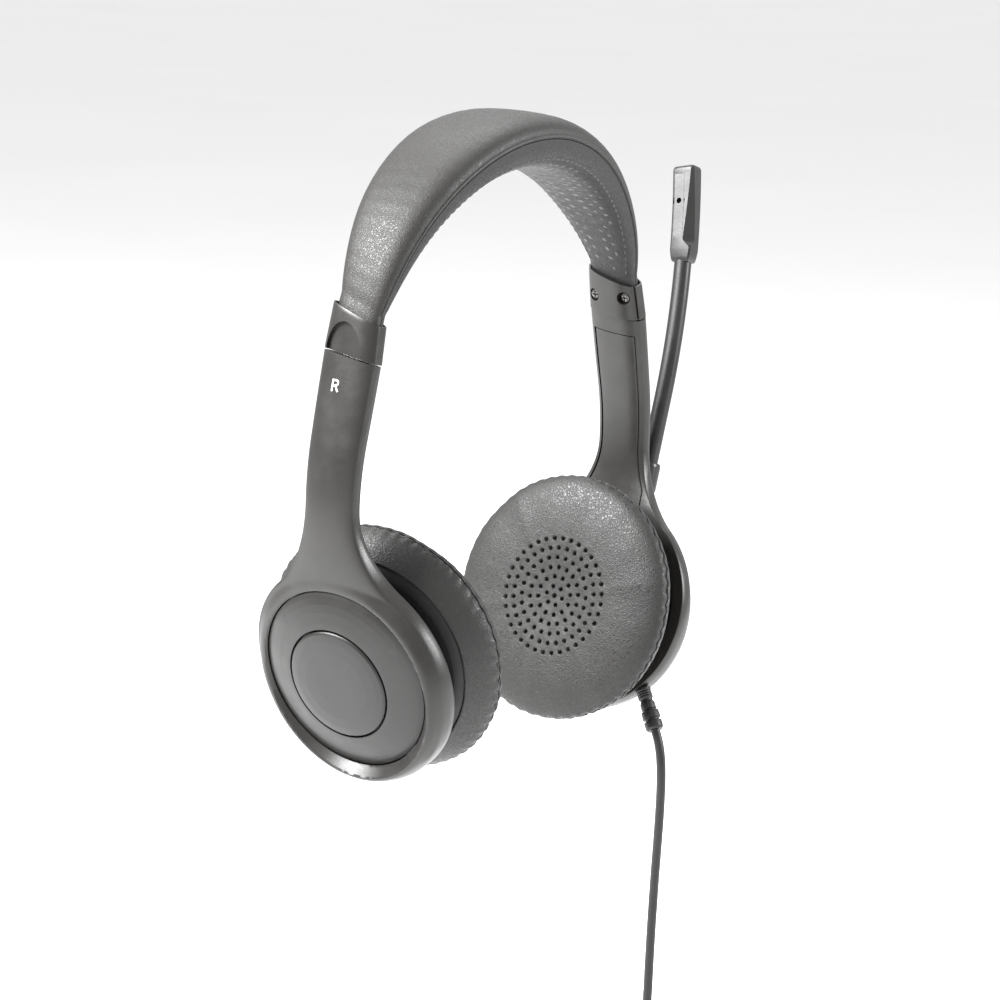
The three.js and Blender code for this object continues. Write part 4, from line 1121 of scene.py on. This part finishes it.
def make_mic():
    ends = [(99.6, 2.5, 2.1), (100.0, 2.85, 2.3), (101.0, 3.1, 2.4), (103.0, MIC_W, MIC_T)]
    tip_steps = ((126.5, 0.1), (126.85, 0.3), (127.0, 0.6))
    tip = [(up, MIC_W - less, MIC_T - less) for up, less in tip_steps]
    body = [(u, MIC_W, MIC_T) for u in np.linspace(103.4, 126.0, many(40))]
    rows = [[on_boom(u, x, z) for x, z in mic_section(w, t, mic_bevel(u))] for u, w, t in ends + body + tip]
    mic = loft("mic_shell_fine", rows, BOOM, None, "boom_plastic", smooth_deg=24)
    seat = cutter_rows("seat", mic_slab(MIC_SEAT_X, (-4, -1.5), np.linspace(*MIC_SEAT_UP, 8)))
    port = lambda p: on_boom(PORT_UP + p[0], PORT_X + p[1], p[2])
    carve(mic, [seat, cutter_round("sound_port", port, 1.85, -3, 0.6, 48)])
    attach(mic, "boom")
    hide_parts("mic_shell")
    plate_rows = mic_slab(MIC_PLATE_X, (-2.48, -1.6), np.linspace(*MIC_PLATE_UP, 10))
    plate = loft("mic_cover_fine", plate_rows, BOOM, None, "boom_plastic")
    carve(plate, [cutter_round("port", port, 0.8, -4, 0, 40)])
    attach(plate, "boom")
    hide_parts("mic_cover")


make_boom()


# ------------------------------------------------------------------ strain relief
def relief_frame():
    root = ring_place(vec(-20.9, 21.3, -7.2))
    ahead = ring_place(vec(-20.9 - 0.843, 21.3 + 0.538, -7.2)) - root
    d = ahead / np.linalg.norm(ahead)
    x = vec(1, 0, 0) - d * d[0]
    x /= np.linalg.norm(x)
    y = np.cross(d, x)
    return lambda p: root + x * p[0] + y * p[1] + d * p[2]


def make_relief():
    profile = [(0, 0.2), (2.15, 0.2), (2.15, 0.9)]
    for z in (1.4, 2.1, 2.8):
        profile += [(1.9, z - 0.25), (2.12, z), (2.12, z + 0.25)]
    profile += [
        (1.75, 3.4), (1.75, 4.3), (2.1, 4.5), (2.1, 6.4), (1.7, 6.5), (1.7, 6.8), (2.45, 7.0),
        (2.55, 9.1), (1.95, 9.25), (1.95, 9.9), (2.55, 10.05), (2.5, 11.9), (2.1, 12.5), (0, 12.5),
    ]
    relief = turned("strain_relief_fine", relief_frame(), profile, PLUG_RUBBER,
                    "arm_l", "cord_rubber", 72, 0.1)
    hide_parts("strain_relief")
    return relief


relief = make_relief()


# ------------------------------------------------------------------ side letters
def letter_strokes(text):
    if text == "R":
        stem = [(0, 0), (0, 1)]
        bowl = [(0, 1), (0.42, 1), (0.6, 0.9), (0.62, 0.75), (0.58, 0.6), (0.42, 0.5), (0, 0.5)]
        leg = [(0.34, 0.5), (0.66, 0)]
        return [stem, bowl, leg]
    return [[(0, 1), (0, 0), (0.58, 0)]]


def make_letter(text, side, on):
    """Printed letter on the arm's outer face, below the collar, read from outside."""
    height, thick, middle_y, below = 2.7, 0.24, 1.4, 7.5
    reads = -1 if side == "r" else 1
    points, faces = [], []
    for stroke in letter_strokes(text):
        for (x0, v0), (x1, v1) in zip(stroke, stroke[1:]):
            a, b = vec(x0, v0) * height, vec(x1, v1) * height
            t = (b - a) / np.linalg.norm(b - a)
            m = vec(-t[1], t[0]) * thick
            a, b = a - t * thick * 0.6, b + t * thick * 0.6
            base = len(points)
            for raised in (-0.05, 0.035):
                for q in (a + m, a - m, b - m, b + m):
                    y = reads * (q[0] - 0.3 * height) + middle_y
                    up = ARM_TOP - below + q[1] - height / 2
                    points.append(on(on_spine(up, y, arm_outer(up, y) + raised)))
            faces += [tuple(base + i for i in f) for f in grid_faces(2, 4)]
    mesh_object(f"side_letter_{side}", points, faces, PRINT, f"arm_{side}", 30)


make_letter("R", "r", flip)
make_letter("L", "l", SIDES["l"][0])


# ------------------------------------------------------------------ inner pieces keep their CAD shape
def finish_nodes():
    looks = {
        "foam": (FOAM, ["band_foam", "band_pad"]),
        "spring_steel": (SPRING, ["band_spring", "slider_strip_l", "slider_strip_r"]),
        "inner_plastic": (INNER, [
            f"{n}_{s}" for s in "lr" for n in ("bracket", "gimbal_ring", "driver_frame", "baffle")
        ]),
        "magnet_steel": (MAGNET, ["driver_magnet_l", "driver_magnet_r"]),
        "cone_film": (CONE, ["driver_cone_l", "driver_cone_r"]),
        "mic_felt": (FELT, ["mic_capsule"]),
        "tie_fabric": (STRAP, ["cord_tie"]),
        "plug_rubber": (PLUG_RUBBER, ["plug_body"]),
        "plug_steel": (NICKEL, ["plug_shell"]),
    }
    for slot_name, (material, names) in looks.items():
        for name in names:
            obj = bpy.data.objects[name]
            obj.data.materials.clear()
            obj.data.materials.append(material)
            if name in ("plug_body", "cord_tie", "plug_shell", "slider_strip_l", "slider_strip_r"):
                soften = obj.modifiers.new("soft_edges", "BEVEL")
                soften.width, soften.segments, soften.limit_method = 0.2 * MM, 2, "ANGLE"
                soften.angle_limit = rad(30)


finish_nodes()

tuple(relief_frame()(vec(0, 0, 12.5)) * MM)


# ------------------------------------------------------------------ stage
FLOOR_HALF_M, FLOOR_Z_M = 30.0, -0.312
WORLD_STRENGTH = 0.9
LIT_POINT_M = (0, 0, -0.075)


def make_stage():
    mesh = bpy.data.meshes.new("floor")
    s, z = FLOOR_HALF_M, FLOOR_Z_M
    mesh.from_pydata([(-s, -s, z), (s, -s, z), (s, s, z), (-s, s, z)], [], [(0, 1, 2, 3)])
    floor = bpy.data.objects.new("floor", mesh)
    bpy.context.scene.collection.objects.link(floor)
    n = Nodes("floor_paper")
    n.link(n.ramp(n.noise(4, 3), (0.90, 0.90, 0.90), (0.94, 0.94, 0.94)), n.bsdf.inputs["Base Color"])
    n.finish(Roughness=0.8)
    mesh.materials.append(n.material)
    world = bpy.data.worlds.new("studio")
    world.use_nodes = True
    world.node_tree.nodes["Background"].inputs[0].default_value = (1, 1, 1, 1)
    world.node_tree.nodes["Background"].inputs[1].default_value = WORLD_STRENGTH
    bpy.context.scene.world = world
    bpy.context.scene.view_settings.view_transform = "Standard"
    middle = vec(*LIT_POINT_M)
    soft_lights = (
        ("key", -CAM_RIGHT * 0.75 + CAM_UP * 0.65 + TO_CAMERA * 0.35, 0.5, 40),
        ("rim", CAM_RIGHT * 1.0 + CAM_UP * 0.3 + TO_CAMERA * 0.1, 0.35, 11),
        ("top", CAM_UP * 1.1 - TO_CAMERA * 0.35, 0.7, 9),
    )
    for name, offset, size, watts in soft_lights:
        light = bpy.data.objects.new(name, bpy.data.lights.new(name, "AREA"))
        light.data.energy, light.data.size = watts, size
        light.location = Vector(middle + offset)
        light.rotation_euler = Vector(offset).to_track_quat("Z", "Y").to_euler()
        bpy.context.scene.collection.objects.link(light)


make_stage()
